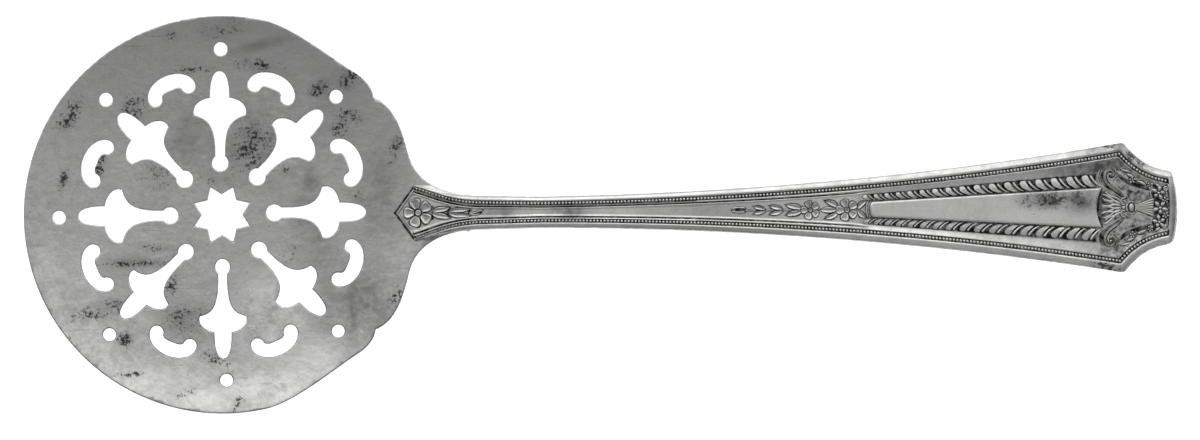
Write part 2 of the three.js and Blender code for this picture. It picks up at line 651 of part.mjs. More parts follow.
function handle() {
  const outline = handleOutline();
  const inset = (distance) => offset(outline, () => distance, true);
  const blank = stack([
    { points: inset(UNDER_ROUND), z: -BLANK },
    { points: outline, z: UNDER_ROUND - BLANK },
    { points: outline, z: RELIEF - EDGE_ROUND },
    { points: inset(0.4 * EDGE_ROUND), z: RELIEF - 0.25 * EDGE_ROUND },
    { points: inset(EDGE_ROUND), z: RELIEF },
  ]);
  const channel = borderBand(
    (x) => beadMargin(x) - BEAD_CHANNEL_HALF,
    (x) => beadMargin(x) + BEAD_CHANNEL_HALF,
  );
  const beadRing = (half) => borderBand((x) => beadMargin(x) - half, (x) => beadMargin(x) + half);
  const beadFoot = beadRing(BEAD_HALF);
  const beadCrest = beadRing(BEAD_HALF / 2);
  const cuts = [fieldPocket(), ...bothSides(channel).map((c) => prism(c, 0, RELIEF + SAFE))];
  const beadStart = dropPoint + DROP_POINT_LENGTH + BEAD_END_GAP;
  const beadEnd = handleEnd - END_MARGIN - BEAD_END_GAP;
  const tooEarly = prism(rectangle(beadStart, EAR_HALF_WIDTH), -SAFE, SAFE);
  const longEnough = prism(rectangle(beadEnd, EAR_HALF_WIDTH), -SAFE, SAFE);
  const beads = [
    { foot: beadFoot, crest: beadCrest },
    { foot: flipped(beadFoot), crest: flipped(beadCrest) },
  ].map(({ foot, crest }) =>
    stack([
      { points: foot, z: -RELIEF },
      { points: foot, z: BEAD_RISE / 2 },
      { points: crest, z: BEAD_RISE },
    ])
      .intersect(longEnough)
      .subtract(tooEarly),
  );
  const leaves = leafBand().flatMap(({ base, crest }) => [
    leafSolid({ base, crest }),
    leafSolid({ base: flipped(base), crest: flipped(crest) }),
  ]);
  const panel = prism(panelOutline(), -RELIEF, PANEL_RISE);
  const sprays = [
    ...spray(dropPoint, DROP_ROSES, DROP_LEAVES, DROP_BUDS),
    ...spray(panelStart, BLADE_ROSES, BLADE_LEAVES, BLADE_BUDS),
  ];
  const struck = join([blank.subtract(join(cuts)), panel, ...beads, ...leaves, ...sprays, ...sheaf()]);
  return formed(struck, stripCutters(dropPoint, handleEnd), formHandle);
}

// The solder film fills the lap between tongue and handle, held back a little from both edges.
function solderFilm() {
  const tongue = offset(headOutline(), () => SOLDER_INSET, true);
  const lap = offset(handleOutline(), () => SOLDER_INSET, true);
  const film = prism(tongue, 0, SOLDER_THICKNESS).intersect(prism(lap, -SAFE, SAFE));
  return formed(film, stripCutters(dropPoint, tongueEnd), formSolder);
}

const silver = new THREE.MeshStandardMaterial({ color: 0xb4b4b2, roughness: 0.32, metalness: 1 });
const struckSilver = new THREE.MeshStandardMaterial({ color: 0xbcbcba, roughness: 0.28, metalness: 1 });
const hardSolder = new THREE.MeshStandardMaterial({ color: 0x9c9c98, roughness: 0.45, metalness: 1 });

const server = new THREE.Group();
const pieces = [
  ["pierced_head", piercedHead(), silver],
  ["handle", handle(), struckSilver],
  ["solder_film", solderFilm(), hardSolder],
];
for (const [name, geometry, material] of pieces) {
  const mesh = new THREE.Mesh(geometry, material);
  mesh.name = name;
  mesh.position.x = (HEAD_RADIUS - handleEnd) / 2;
  server.add(mesh);
}

export default server;
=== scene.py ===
"""A tomato server lying face up: pierced sheet head, die-struck handle with beading, leaves and flowers.

Everything is drawn flat in plan, in millimetres from the centre of the round head, then formed over the
side profile of the server and placed in the row frame, in metres.
"""

import functools
import itertools
import math

import bmesh
import bpy
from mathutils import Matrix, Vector
from mathutils.geometry import intersect_line_line_2d


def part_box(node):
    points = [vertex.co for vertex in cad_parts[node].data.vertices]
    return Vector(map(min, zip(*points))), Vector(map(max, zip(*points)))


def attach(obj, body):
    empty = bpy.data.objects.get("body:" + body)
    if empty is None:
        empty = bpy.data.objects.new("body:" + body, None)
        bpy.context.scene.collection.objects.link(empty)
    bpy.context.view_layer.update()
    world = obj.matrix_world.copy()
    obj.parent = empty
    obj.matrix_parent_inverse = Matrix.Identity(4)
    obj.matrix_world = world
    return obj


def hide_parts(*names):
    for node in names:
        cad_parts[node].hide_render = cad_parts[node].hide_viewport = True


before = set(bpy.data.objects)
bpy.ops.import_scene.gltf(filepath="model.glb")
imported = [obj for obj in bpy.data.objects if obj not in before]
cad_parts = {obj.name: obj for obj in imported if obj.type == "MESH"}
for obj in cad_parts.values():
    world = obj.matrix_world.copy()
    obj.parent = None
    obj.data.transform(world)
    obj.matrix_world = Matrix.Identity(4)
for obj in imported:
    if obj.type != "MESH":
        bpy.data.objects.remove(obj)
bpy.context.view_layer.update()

MM = 0.001
head_low, head_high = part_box("pierced_head")
handle_low, handle_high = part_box("handle")

# Head sheet
HEAD_RADIUS = (head_high.y - head_low.y) / 2 / MM
HEAD_AT = head_low.x / MM + HEAD_RADIUS  # row X of the head's centre
HEAD_THICKNESS = 1.2
FLAT_RADIUS = 18
DISH_DEPTH = 1.2
NECK_END = 44.7
NECK_HALF = 2.9
TONGUE_END = head_high.x / MM - HEAD_AT
TONGUE_HALF = 1.5
SCORE_PITCH = 1.6  # between the lines along which the sheet bends

# Shoulders of the head, in degrees from the handle: end of the round, of the chord, the cusp and the lobe
ROUND_END = 78
CHORD_END = 46
CUSP = 37.4
LOBE_END = 17.9

# Piercings, by distance from the head's centre
PETALS = 8
STAR_POINT = 5.08
STAR_NOTCH = 3.45
STAR_SLIP = -0.18
FLEURON_BALL_AT = 9.08
FLEURON_BALL = 1.38
FLEURON_STEM_END = 12
FLEURON_STEM_HALF = 0.82
FLEURON_WING_AT = 17.45
FLEURON_WING_HALF = 4.45
FLEURON_COLLAR_AT = 20.35
FLEURON_LOBE_HALF = 1.62
FLEURON_TIP = 24.95
SLOT_AT = 23.05
SLOT_RISE = 3
SLOT_HALF = 4.25
SLOT_END = 1.15
SLOT_INNER_EDGE = 23.65
DRAIN_AT = 28.5
DRAIN_RADIUS = 1.1

# Handle plan
DROP_POINT = handle_low.x / MM - HEAD_AT
DROP_CORNER = Vector((DROP_POINT + 3.6, 4.95))
STEM_START = DROP_POINT + 15
STEM_HALF = 3
WAIST = DROP_POINT + 25.5
WAIST_HALF = 2.8
FLARE_NEAR = 0.03  # share of the flare at a third of its length
FLARE_FAR = 0.35  # and at two thirds
HANDLE_END = handle_high.x / MM - HEAD_AT
EAR_AT = HANDLE_END - 9.4
EAR_HALF = (handle_high.y - handle_low.y) / 2 / MM
END_HALF = 6.4
PANEL_START = HANDLE_END - 53.5
PANEL_END = PANEL_START + 40.2
PANEL_START_HALF = 1.35
PANEL_END_HALF = 3.45
BAND_START_WIDTH = 1.12
BAND_END_WIDTH = 2.35
BEAD_MARGIN_DROP = 0.55  # from the edge to the middle of the bead row
BEAD_MARGIN_NECK = 1.3
BEAD_MARGIN_EAR = 1.9
BEAD_PITCH = 0.6
CHANNEL_HALF_WAIST = 0.34
CHANNEL_HALF_EAR = 0.42
LEDGE_WAIST = 0.26  # between the bead channel and the field
LEDGE_EAR = 0.7
LEAF_PITCH_START = 1.85
LEAF_PITCH_END = 2.72
BAND_RELIEF = 0.3
BEAD_HALVES = Vector((0.245, 0.3, 0.26))
BEAD_SEAT = 0.06

# Thickness and side profile
BLANK = 2
TONGUE_THICKNESS = 0.8
DROP_THICKNESS = 0.3
STEM_THICKNESS = 1.9
END_THICKNESS = 1.6
JOINT_GAP = 0.35
SWEATED_GAP = 0.03
LAP_CLOSED_TO = 37
LAP_OPEN_FROM = 50
PEAK = DROP_POINT + 62
PEAK_HEIGHT = 12
FOOT = 0.2  # how deep an ornament is rooted in the field


def mix(a, b, share):
    return a + (b - a) * share


def ease(x, start, end):
    share = min(1, max(0, (x - start) / (end - start)))
    return share * share * (3 - 2 * share)


def polar(radius, degrees):
    angle = math.radians(degrees)
    return Vector((radius * math.cos(angle), radius * math.sin(angle)))


def hermite(x, x0, z0, slope0, x1, z1, slope1):
    length = x1 - x0
    t = (x - x0) / length
    rise = z1 - z0
    a, b = slope0 * length, slope1 * length
    return z0 + t * (a + t * (3 * rise - 2 * a - b + t * (a + b - 2 * rise)))


# Forming over the side profile


def seat(distance):
    """Height of the top of the head sheet, its neck and tongue, by distance from the head's centre."""
    curl = DISH_DEPTH / (HEAD_RADIUS - FLAT_RADIUS) ** 2
    climb = max(0, distance - FLAT_RADIUS)
    if distance <= NECK_END:
        return HEAD_THICKNESS + curl * climb**2
    run = NECK_END - FLAT_RADIUS
    neck_height = HEAD_THICKNESS + curl * run**2
    if distance <= PEAK:
        return hermite(distance, NECK_END, neck_height, 2 * curl * run, PEAK, PEAK_HEIGHT, 0)
    return hermite(distance, PEAK, PEAK_HEIGHT, 0, HANDLE_END - 0.6, -JOINT_GAP, -0.2)


def row_point(x, y, z):
    return Vector(((x + HEAD_AT) * MM, y * MM, z * MM))


def sheet_wave(x, y):
    """The slight hollow and unevenness of a hand-flattened sheet."""
    distance = math.hypot(x, y)
    hollow = 0.13 * min(1, distance / FLAT_RADIUS) ** 2
    swell = 0.02 * math.sin(0.13 * x + 0.4) * math.cos(0.11 * y - 0.7)
    ripple = 0.03 + swell + 0.01 * math.sin(0.31 * x - 0.23 * y)
    return (hollow + ripple * ease(distance, 6, 14)) * (1 - ease(distance, FLAT_RADIUS, HEAD_RADIUS - 2))


def form_head(x, y, z):
    distance = math.hypot(x, y)
    thickness = mix(HEAD_THICKNESS, TONGUE_THICKNESS, ease(distance, HEAD_RADIUS, TONGUE_END))
    return row_point(x, y, seat(distance) + sheet_wave(x, y) - thickness * (1 - z / HEAD_THICKNESS))


def lap_height(x):
    """Gap between the head sheet and the underside of the handle: the drop is sweated down flush."""
    return mix(SWEATED_GAP, JOINT_GAP, ease(x, LAP_CLOSED_TO, LAP_OPEN_FROM))


def handle_thickness(x):
    swell = mix(DROP_THICKNESS, STEM_THICKNESS, ease(x, DROP_POINT + 2, WAIST))
    return mix(swell, END_THICKNESS, ease(x, WAIST, HANDLE_END))


def form_handle(x, y, z):
    thickness = handle_thickness(x)
    field = seat(x) + lap_height(x) + thickness
    return row_point(x, y, field + (z * thickness / BLANK if z < 0 else z))


def form_seam(x, y, z):
    return row_point(x, y, seat(math.hypot(x, y)) + z)


# Plan curves


def curve(controls, count):
    """Points of the Bezier curve with these control points."""
    controls = [Vector(c) for c in controls]
    points = []
    for i in range(count + 1):
        level = controls
        while len(level) > 1:
            level = [a.lerp(b, i / count) for a, b in zip(level, level[1:])]
        points.append(level[0])
    return points


def arc(centre, radius, start, end, count):
    return [Vector(centre) + polar(radius, mix(start, end, i / count)) for i in range(count + 1)]


def mirrored(upper):
    """Closes an upper half, which starts and ends on the X axis, with its mirror image."""
    return upper + [Vector((p.x, -p.y)) for p in reversed(upper[1:-1])]


def mirrored_loop(half):
    """Closes a half that need not start on the X axis with its mirror image."""
    return half + [Vector((p.x, -p.y)) for p in reversed(half) if abs(p.y) > 1e-6]


def flipped(points):
    return [(p[0], -p[1]) for p in points]


def grown(points, distance):
    """A closed outline moved outwards by a distance."""
    area = sum(a.x * b.y - b.x * a.y for a, b in zip(points, points[1:] + points[:1]))
    side = 1 if area > 0 else -1
    moved = []
    for before, here, after in zip(points[-1:] + points, points, points[1:] + points[:1]):
        into, out = (here - before).normalized(), (after - here).normalized()
        bisector = Vector((into.y + out.y, -into.x - out.x))
        moved.append(here + bisector * (2 * side * distance / max(bisector.length_squared, 0.6)))
    return moved


def spaced(points, count):
    """The same run of points again at even spaces along it."""
    lengths = [0]
    for a, b in zip(points, points[1:]):
        lengths.append(lengths[-1] + (b - a).length)
    placed, k = [], 0
    for i in range(count + 1):
        goal = lengths[-1] * i / count
        while k < len(points) - 2 and lengths[k + 1] < goal:
            k += 1
        span = lengths[k + 1] - lengths[k]
        placed.append(points[k].lerp(points[k + 1], (goal - lengths[k]) / span if span else 0))
    return placed


def smooth_run(points, count):
    """A smooth run through a few given points."""
    points = [Vector(p) for p in points]
    ends = [2 * points[0] - points[1], *points, 2 * points[-1] - points[-2]]
    run = []
    for a, b, c, d in zip(ends, ends[1:], ends[2:], ends[3:]):
        for i in range(8):
            t = i / 8
            bow, twist = 2 * a - 5 * b + 4 * c - d, 3 * b - a - 3 * c + d
            run.append(0.5 * (2 * b + (c - a) * t + bow * t**2 + twist * t**3))
    return spaced([*run, points[-1]], count)


def smooth_loop(points):
    """A smooth closed outline through a few given points."""
    run = smooth_run([points[-1], *points, points[0], points[1]], 9 * (len(points) + 2))
    start = min(range(len(run) // 2), key=lambda i: (run[i] - Vector(points[0])).length)
    end = max(range(len(run) // 2, len(run)), key=lambda i: -(run[i] - Vector(points[0])).length)
    return run[start:end]


def oval(centre, half_length, half_width, count):
    ring = arc((0, 0), 1, 0, 360 - 360 / count, count - 1)
    return [Vector(centre) + Vector((half_length * p.x, half_width * p.y)) for p in ring]


def strayed(points, along, across):
    return [p + Vector((along, across)) for p in points]


def turned(points, degrees):
    angle = math.radians(degrees)
    c, s = math.cos(angle), math.sin(angle)
    return [Vector((c * p.x - s * p.y, s * p.x + c * p.y)) for p in points]


def heading(run, i):
    """Direction of a run at one of its points."""
    last = len(run) - 1
    return (run[min(i + 1, last)] - run[max(i - 1, 0)]).normalized()


def both_edges(spine, halves):
    """The left and right edge of a band that is laid along a spine."""
    left, right = [], []
    for i, place in enumerate(spine):
        along = heading(spine, i)
        aside = Vector((-along.y, along.x)) * halves[i]
        left.append(place + aside)
        right.append(place - aside)
    return left, right


def inwards(run, distances):
    """A run of the handle's upper edge moved inwards, point by point."""
    moved = []
    for i, place in enumerate(run):
        along = heading(run, i)
        moved.append(place + Vector((along.y, -along.x)) * distances[i])
    return moved


def trimmed(first, second):
    """Cuts two runs that meet in a corner back to where they cross."""
    for i in range(len(first) - 2, -1, -1):
        for j in range(min(len(second) - 1, 160)):
            hit = intersect_line_line_2d(first[i], first[i + 1], second[j], second[j + 1])
            if hit:
                return first[: i + 1] + [hit], [hit] + second[j + 1 :]
    return first, second


def softened(first, second, radius):
    """Rounds the corner between two evenly spaced runs."""
    corner = first[-1]
    a = next((p for p in reversed(first) if (p - corner).length > radius), first[0])
    b = next((p for p in second if (p - corner).length > radius), second[-1])

    def rounded(p, reach, side):
        away = (p - corner).length
        if away >= reach:
            return p
        t = 0.5 * (1 + side * away / reach)
        return a.lerp(corner, t).lerp(corner.lerp(b, t), t)

    reach_a, reach_b = (a - corner).length, (b - corner).length
    return [rounded(p, reach_a, -1) for p in first], [rounded(p, reach_b, 1) for p in second]


def at_height(points, z):
    return [(p.x, p.y, z) for p in points]


# Drawing by hand in edit mode


def open_sheet(name):
    """Opens a new empty mesh for drawing."""
    bpy.ops.object.select_all(action="DESELECT")
    bpy.ops.object.add(type="MESH", location=(0, 0, 0))
    piece = bpy.context.object
    piece.name = name
    piece.data.name = name
    piece.data.attributes.new("hollow", "FLOAT", "POINT")
    bpy.ops.object.mode_set(mode="EDIT")
    return piece


def close_sheet(piece):
    bpy.ops.mesh.select_all(action="SELECT")
    bpy.ops.mesh.normals_make_consistent(inside=False)
    bpy.ops.object.mode_set(mode="OBJECT")
    return piece


def piece_mesh(piece):
    sheet = bmesh.from_edit_mesh(piece.data)
    sheet.verts.ensure_lookup_table()
    return sheet


def set_places(loop, ring):
    for corner, place in zip(loop, ring):
        corner.co = place


def ladder_cap(sheet, loop):
    """Swaps the one large face across a mirrored ring for rungs between its upper and lower half."""
    count = len(loop)
    members = set(loop)
    for face in [f for f in loop[0].link_faces if len(f.verts) == count]:
        if set(face.verts) == members:
            sheet.faces.remove(face)
    half = count // 2
    for i in range(half):
        rung = [loop[i], loop[i + 1], loop[count - i - 1], loop[(count - i) % count]]
        rung = [c for k, c in enumerate(rung) if c not in rung[:k]]
        sheet.faces.new(rung)


def ring_solid(piece, rings, ladder=False, marks=None):
    """Draws the first ring as a flat face and extrudes it through the others; rings list (x, y, z)."""
    known = len(piece_mesh(piece).verts)
    bpy.ops.mesh.select_all(action="DESELECT")
    bpy.ops.mesh.primitive_circle_add(vertices=len(rings[0]), radius=1, fill_type="NGON")
    sheet = piece_mesh(piece)
    loop = list(sheet.verts[known:])
    stack = [loop]
    set_places(loop, rings[0])
    for ring in rings[1:]:
        bpy.ops.mesh.extrude_region_move()
        sheet = piece_mesh(piece)
        loop = list(sheet.verts[-len(ring) :])
        set_places(loop, ring)
        stack.append(loop)
    if marks:
        hollow = sheet.verts.layers.float["hollow"]
        for i, mark in enumerate(marks):
            for corner in sheet.verts[known + i * len(rings[0]) : known + (i + 1) * len(rings[0])]:
                corner[hollow] = mark
    if ladder:
        for loop in (stack[0], stack[-1]):
            ladder_cap(sheet, loop)
    bmesh.update_edit_mesh(piece.data)


def draw_grid(piece, rows, columns, lay):
    """Draws a grid and closes it underneath; lay(row, column) gives a corner's place and tarnish."""
    bpy.ops.mesh.select_all(action="DESELECT")
    bpy.ops.mesh.primitive_grid_add(x_subdivisions=rows - 1, y_subdivisions=columns - 1, size=2)
    sheet = piece_mesh(piece)
    hollow = sheet.verts.layers.float["hollow"]
    for corner in [c for c in sheet.verts if c.select]:
        i = round((corner.co.x + 1) / 2 * (rows - 1))
        j = round((corner.co.y + 1) / 2 * (columns - 1))
        corner.co, corner[hollow] = lay(i, j)
    bmesh.update_edit_mesh(piece.data)
    bpy.ops.mesh.select_non_manifold(extend=False)
    bpy.ops.mesh.edge_face_add()


def loft(piece, left, right, heights, section, marks, crown=None):
    """Lays a strip of relief between two edges, rooted in the field; the section lists (across, height)."""
    rows, columns = len(left), len(section)
    crown = crown or [0] * rows

    def lay(i, j):
        across, rise = section[j]
        place = right[i].lerp(left[i], (across + 1) / 2)
        at_tip = i in (0, rows - 1)
        sunk = at_tip or j in (0, columns - 1)
        inner = crown[i] if abs(across) < 0.8 else 0
        height = -FOOT if sunk else mix(rise, 1, inner) * heights[i]
        return (place.x, place.y, height), max(marks[j] * (1 - inner), 0.8 if at_tip else 0)

    draw_grid(piece, rows, columns, lay)


def pick(piece):
    bpy.ops.object.select_all(action="DESELECT")
    piece.select_set(True)
    bpy.context.view_layer.objects.active = piece


def score(piece, direction, places):
    """Scores lines across a piece so that it can bend there."""
    pick(piece)
    bpy.ops.object.mode_set(mode="EDIT")
    for place in places:
        bpy.ops.mesh.select_all(action="SELECT")
        bpy.ops.mesh.bisect(plane_co=Vector(direction) * place, plane_no=direction)
    bpy.ops.object.mode_set(mode="OBJECT")


def form(piece, shape):
    for corner in piece.data.vertices:
        corner.co = shape(*corner.co)


def finish_piece(piece, shape, node, material, angle):
    """Forms a flat piece, smooths its shading and ties it to the frame."""
    form(piece, shape)
    pick(piece)
    bpy.ops.object.mode_set(mode="EDIT")
    bpy.ops.mesh.select_all(action="SELECT")
    bpy.ops.mesh.normals_make_consistent(inside=False)
    bpy.ops.object.mode_set(mode="OBJECT")
    bpy.ops.object.shade_smooth_by_angle(angle=math.radians(angle))
    piece.data.materials.clear()
    piece.data.materials.append(material)
    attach(piece, "root")
    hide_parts(node)
    return piece


# Pierced head


def head_outline():
    round_end = polar(HEAD_RADIUS, ROUND_END)
    chord_end = polar(HEAD_RADIUS - 0.85, CHORD_END)
    cusp = polar(HEAD_RADIUS - 1.35, CUSP)
    lobe_end = polar(HEAD_RADIUS - 0.65, LOBE_END)
    sweep = NECK_END - lobe_end.x
    turn = Vector((lobe_end.x + 0.08 * sweep, mix(NECK_HALF, lobe_end.y, 0.46)))
    settle = Vector((lobe_end.x + 0.36 * sweep, NECK_HALF + 0.35))
    neck = Vector((NECK_END, NECK_HALF))
    waist = Vector((cusp.x - 0.4, mix(cusp.y, chord_end.y, 0.6)))
    half = arc((0, 0), HEAD_RADIUS, 180, ROUND_END, 110)
    half += curve([round_end, round_end + polar(5, -12), chord_end - polar(6, -33.5), chord_end], 24)[1:]
    half += curve([chord_end, waist, cusp], 8)[1:]
    half += curve([cusp, cusp + Vector((3.2, -1.3)), lobe_end + Vector((-1.3, 5.2)), lobe_end], 20)[1:]
    half += curve([lobe_end, turn, settle, neck], 24)[1:]
    half += curve([neck, (TONGUE_END - TONGUE_HALF, TONGUE_HALF)], 10)[1:]
    half += arc((TONGUE_END - TONGUE_HALF, 0), TONGUE_HALF, 90, 0, 8)[1:]
    return mirrored(half)


def fleuron_outline(late, width):
    """A fleuron along the X axis; its sides spread later or sooner, as the saw ran."""
    meet = math.degrees(math.asin(FLEURON_STEM_HALF / FLEURON_BALL))
    stem = (FLEURON_STEM_END, FLEURON_STEM_HALF)
    wing = (FLEURON_WING_AT + 0.5 * late, FLEURON_WING_HALF)
    collar = (FLEURON_COLLAR_AT, FLEURON_LOBE_HALF)
    half = arc((FLEURON_BALL_AT, 0), FLEURON_BALL, 180, meet, 16)
    half += curve([half[-1], stem], 3)[1:]
    half += curve([stem, (15.7 + late, 1.06), (16.75 + late, 2), wing], 14)[1:]
    half += curve([half[-1], (18.9, 4.95), (20.1, 3.55), collar], 12)[1:]
    half += curve([collar, (23.3, 1.66), (FLEURON_TIP, 1.1), (FLEURON_TIP, 0)], 12)[1:]
    return mirrored([Vector((p.x, p.y * width)) for p in half])


def slot_outline():
    """A curved slot lying across the X axis: an oval back, two round ends and a straight inner edge."""
    turns = [math.pi / 36 * i for i in range(19)]
    half = [Vector((SLOT_AT + SLOT_RISE * math.cos(a), SLOT_HALF * math.sin(a))) for a in turns]
    half += arc((SLOT_AT, SLOT_HALF - SLOT_END), SLOT_END, 90, 270, 14)[1:]
    inner = [(SLOT_INNER_EDGE, y) for y in (1.6, 1.2, 0)]
    half += curve([(SLOT_AT, SLOT_HALF - 2 * SLOT_END), *inner], 8)[1:]
    return mirrored(half)


def star_outline():
    return [polar(STAR_POINT if i % 2 else STAR_NOTCH, 180 / PETALS * i) for i in range(2 * PETALS)]


# How far each piercing strays from the drawn rosette: along and across its ray, and for the fleurons
# also how late the sides spread and the share of the drawn width
FLEURON_SLIPS = [
    (-0.15, 0.28, 0, 0.97),
    (-0.2, 0.38, -0.1, 1),
    (-0.1, 0.41, 0, 0.99),
    (0, 0.26, 0.1, 1),
    (0.12, 0.1, 0, 1),
    (0.08, -0.05, 0.5, 0.94),
    (0.05, -0.15, 0.4, 0.9),
    (-0.3, 0.05, 0, 0.97),
]
SLOT_SLIPS = [
    (-0.17, 0.1),
    (-0.05, 0.32),
    (-0.12, -0.07),
    (0.06, -0.15),
    (0.2, 0.2),
    (0.25, 0.13),
    (0.24, -0.2),
    (-0.26, 0.2),
]
HOLE_SLIPS = [(-0.08, 0.36), (0.28, 0.15), (0, 0), (-0.04, 0.29), (0.2, 0.6), (0.3, 0.41), (0, -0.36)]


def sheet_blank():
    outline = head_outline()
    profile = [(0.3, 0), (0.08, 0.07), (0, 0.28), (0, 0.92), (0.08, 1.13), (0.3, 1.2)]
    piece = open_sheet("pierced_head_sheet")
    ring_solid(piece, [at_height(grown(outline, -inset), z) for inset, z in profile])
    return close_sheet(piece)


def saw_cuts():
    """Cutters for every piercing, flared at both faces so that each edge comes out softened."""
    pitch = 360 / PETALS
    outlines = [strayed(star_outline(), STAR_SLIP, 0)]
    for i in range(PETALS):
        along, across, late, width = FLEURON_SLIPS[i]
        outlines.append(turned(strayed(fleuron_outline(late, width), along, across), i * pitch))
        outlines.append(turned(strayed(slot_outline(), *SLOT_SLIPS[i]), (i + 0.5) * pitch))
        if i:
            hole = strayed(arc((DRAIN_AT, 0), DRAIN_RADIUS, 0, 350, 35), *HOLE_SLIPS[i - 1])
            outlines.append(turned(hole, i * pitch))
    lower = [(0.24, -0.6), (0.24, -0.01), (0.09, 0.07), (0, 0.28)]
    upper = [(0, 0.92), (0.09, 1.13), (0.24, 1.21), (0.24, 1.8)]
    piece = open_sheet("saw_cuts")
    for outline in outlines:
        ring_solid(piece, [at_height(grown(outline, flare), z) for flare, z in lower + upper])
    return close_sheet(piece)


def edge_grime_and_shade(sheet):
    """Grime and painted shade along the rim and the sawn edges, most on the side turned from the light."""
    marks = []
    for corner in sheet.data.vertices:
        _, y, z = corner.co
        on_edge = ease(z, 0.3, 0.9) * (1 - ease(z, 1.1, HEAD_THICKNESS))
        # painted shade: the edge mark is 0.8 on the side turned from the light and 0.15 on the lit side
        marks.append(on_edge * mix(0.8, 0.15, ease(y, -18, 6)))
    grime_and_shade = sheet.data.attributes.get("hollow") or sheet.data.attributes.new("hollow", "FLOAT", "POINT")
    grime_and_shade.data.foreach_set("value", marks)


def pierced_head(material):
    sheet = sheet_blank()
    cuts = saw_cuts()
    pick(sheet)
    saw = sheet.modifiers.new("saw", "BOOLEAN")
    saw.operation = "DIFFERENCE"
    saw.solver = "EXACT"
    saw.object = cuts
    bpy.ops.object.modifier_apply(modifier="saw")
    bpy.data.objects.remove(cuts)
    score(sheet, (1, 0, 0), [SCORE_PITCH * i - 34.4 for i in range(60)])
    score(sheet, (0, 1, 0), [SCORE_PITCH * i - 33.6 for i in range(43)])
    bpy.ops.object.mode_set(mode="EDIT")
    bpy.ops.mesh.select_all(action="SELECT")
    bpy.ops.mesh.remove_doubles(threshold=0.002)
    bpy.ops.object.mode_set(mode="OBJECT")
    edge_grime_and_shade(sheet)
    finish_piece(sheet, form_head, "pierced_head", material, 20)
    flat = sheet.modifiers.new("flat_faces", "WEIGHTED_NORMAL")
    flat.keep_sharp = True
    flat.weight = 80
    bpy.ops.object.modifier_apply(modifier="flat_faces")
    return sheet


# Handle blank


def side_run():
    sweep = STEM_START - DROP_CORNER.x
    top, stem = DROP_CORNER, Vector((STEM_START, STEM_HALF))
    leave = (top.x + 0.3 * sweep, mix(STEM_HALF, top.y, 0.55))
    run = curve([top, leave, (top.x + 0.45 * sweep, STEM_HALF + 0.15), stem], 60)
    run += curve([stem, (WAIST, WAIST_HALF)], 40)[1:]
    flare, spread = EAR_AT - WAIST, EAR_HALF - WAIST_HALF
    near = (WAIST + flare / 3, WAIST_HALF + FLARE_NEAR * spread)
    far = (WAIST + 2 * flare / 3, WAIST_HALF + FLARE_FAR * spread)
    return run + curve([run[-1], near, far, (EAR_AT, EAR_HALF)], 300)[1:]


def scallop_run():
    back, drop = HANDLE_END - EAR_AT, EAR_HALF - END_HALF
    controls = [
        (EAR_AT, EAR_HALF),
        (EAR_AT + 0.18 * back, EAR_HALF - 0.45 * drop),
        (EAR_AT + 0.4 * back, END_HALF + 0.14 * drop),
        (HANDLE_END - 1.3, END_HALF),
    ]
    return curve(controls, 60) + [Vector((HANDLE_END - 0.83, END_HALF - 0.075))]


def end_run():
    start = scallop_run()[-1]
    square = Vector((HANDLE_END - 0.7, END_HALF - 0.6))
    return [start] + curve([square, (HANDLE_END, END_HALF / 2), (HANDLE_END, 0)], 40)


def bead_margin(x):
    neck = mix(BEAD_MARGIN_DROP, BEAD_MARGIN_NECK, ease(x, DROP_CORNER.x, STEM_START))
    return mix(neck, BEAD_MARGIN_EAR, ease(x, STEM_START, EAR_AT))


def channel_half(x):
    return mix(CHANNEL_HALF_WAIST, CHANNEL_HALF_EAR, ease(x, WAIST, EAR_AT))


def field_margin(x):
    return bead_margin(x) + channel_half(x) + mix(LEDGE_WAIST, LEDGE_EAR, ease(x, WAIST, EAR_AT))


def panel_share(x):
    """How far along the panel a place lies: 0 at its start and 1 at its end."""
    return (x - PANEL_START) / (PANEL_END - PANEL_START)


def panel_half(x):
    return mix(PANEL_START_HALF, PANEL_END_HALF, panel_share(x))


def band_width(x):
    return mix(BAND_START_WIDTH, BAND_END_WIDTH, max(0, panel_share(x)))


def strip_width(x):
    """Width of the sloping strip between the bead row and the leaf band."""
    at = min(x, PANEL_END)
    t = (at - WAIST) / (EAR_AT - WAIST)
    flare = 3 * FLARE_NEAR * t * (1 - t) ** 2 + 3 * FLARE_FAR * t**2 * (1 - t) + t**3
    half = mix(WAIST_HALF, EAR_HALF, flare)
    room = half - bead_margin(at) - channel_half(at) - 0.17 - panel_half(at) - band_width(at)
    return mix(max(0.3, room), 0.8, ease(x, EAR_AT - 3, EAR_AT + 3))


def strip_shade_and_tarnish(x):
    """Painted shade and tarnish on the strip, on the side turned from the light, blackest before the ear.
    """
    film = 0.14 * ease(x, PANEL_START, PANEL_START + 8) + 0.6 * ease(x, EAR_AT - 20.5, EAR_AT - 4.5)
    return film - 0.45 * ease(x, EAR_AT - 1, EAR_AT + 2.5)


# The strip beside the leaf bands: (share of its width, height, painted shade at its foot beside the leaves)
STRIP = [
    (0.08, 0.108, 0),
    (0.16, 0.094, 0),
    (0.25, 0.078, 0),
    (0.35, 0.062, 0),
    (0.45, 0.047, 0),
    (0.55, 0.034, 0),
    (0.65, 0.022, 0.05),
    (0.75, 0.012, 0.15),
    (0.85, 0.004, 0.5),
    (0.95, 0, 1),
    (1.05, 0, 1),
]


# The wall below the border, from the underside up: (distance from the edge, height, tarnish)
WALL_SECTION = [
    (0.9, -BLANK, 0),
    (0.35, 0.1 - BLANK, 0),
    (0.08, 0.38 - BLANK, 0),
    (0, 0.8 - BLANK, 0),
    (0, -0.4, 0),
]


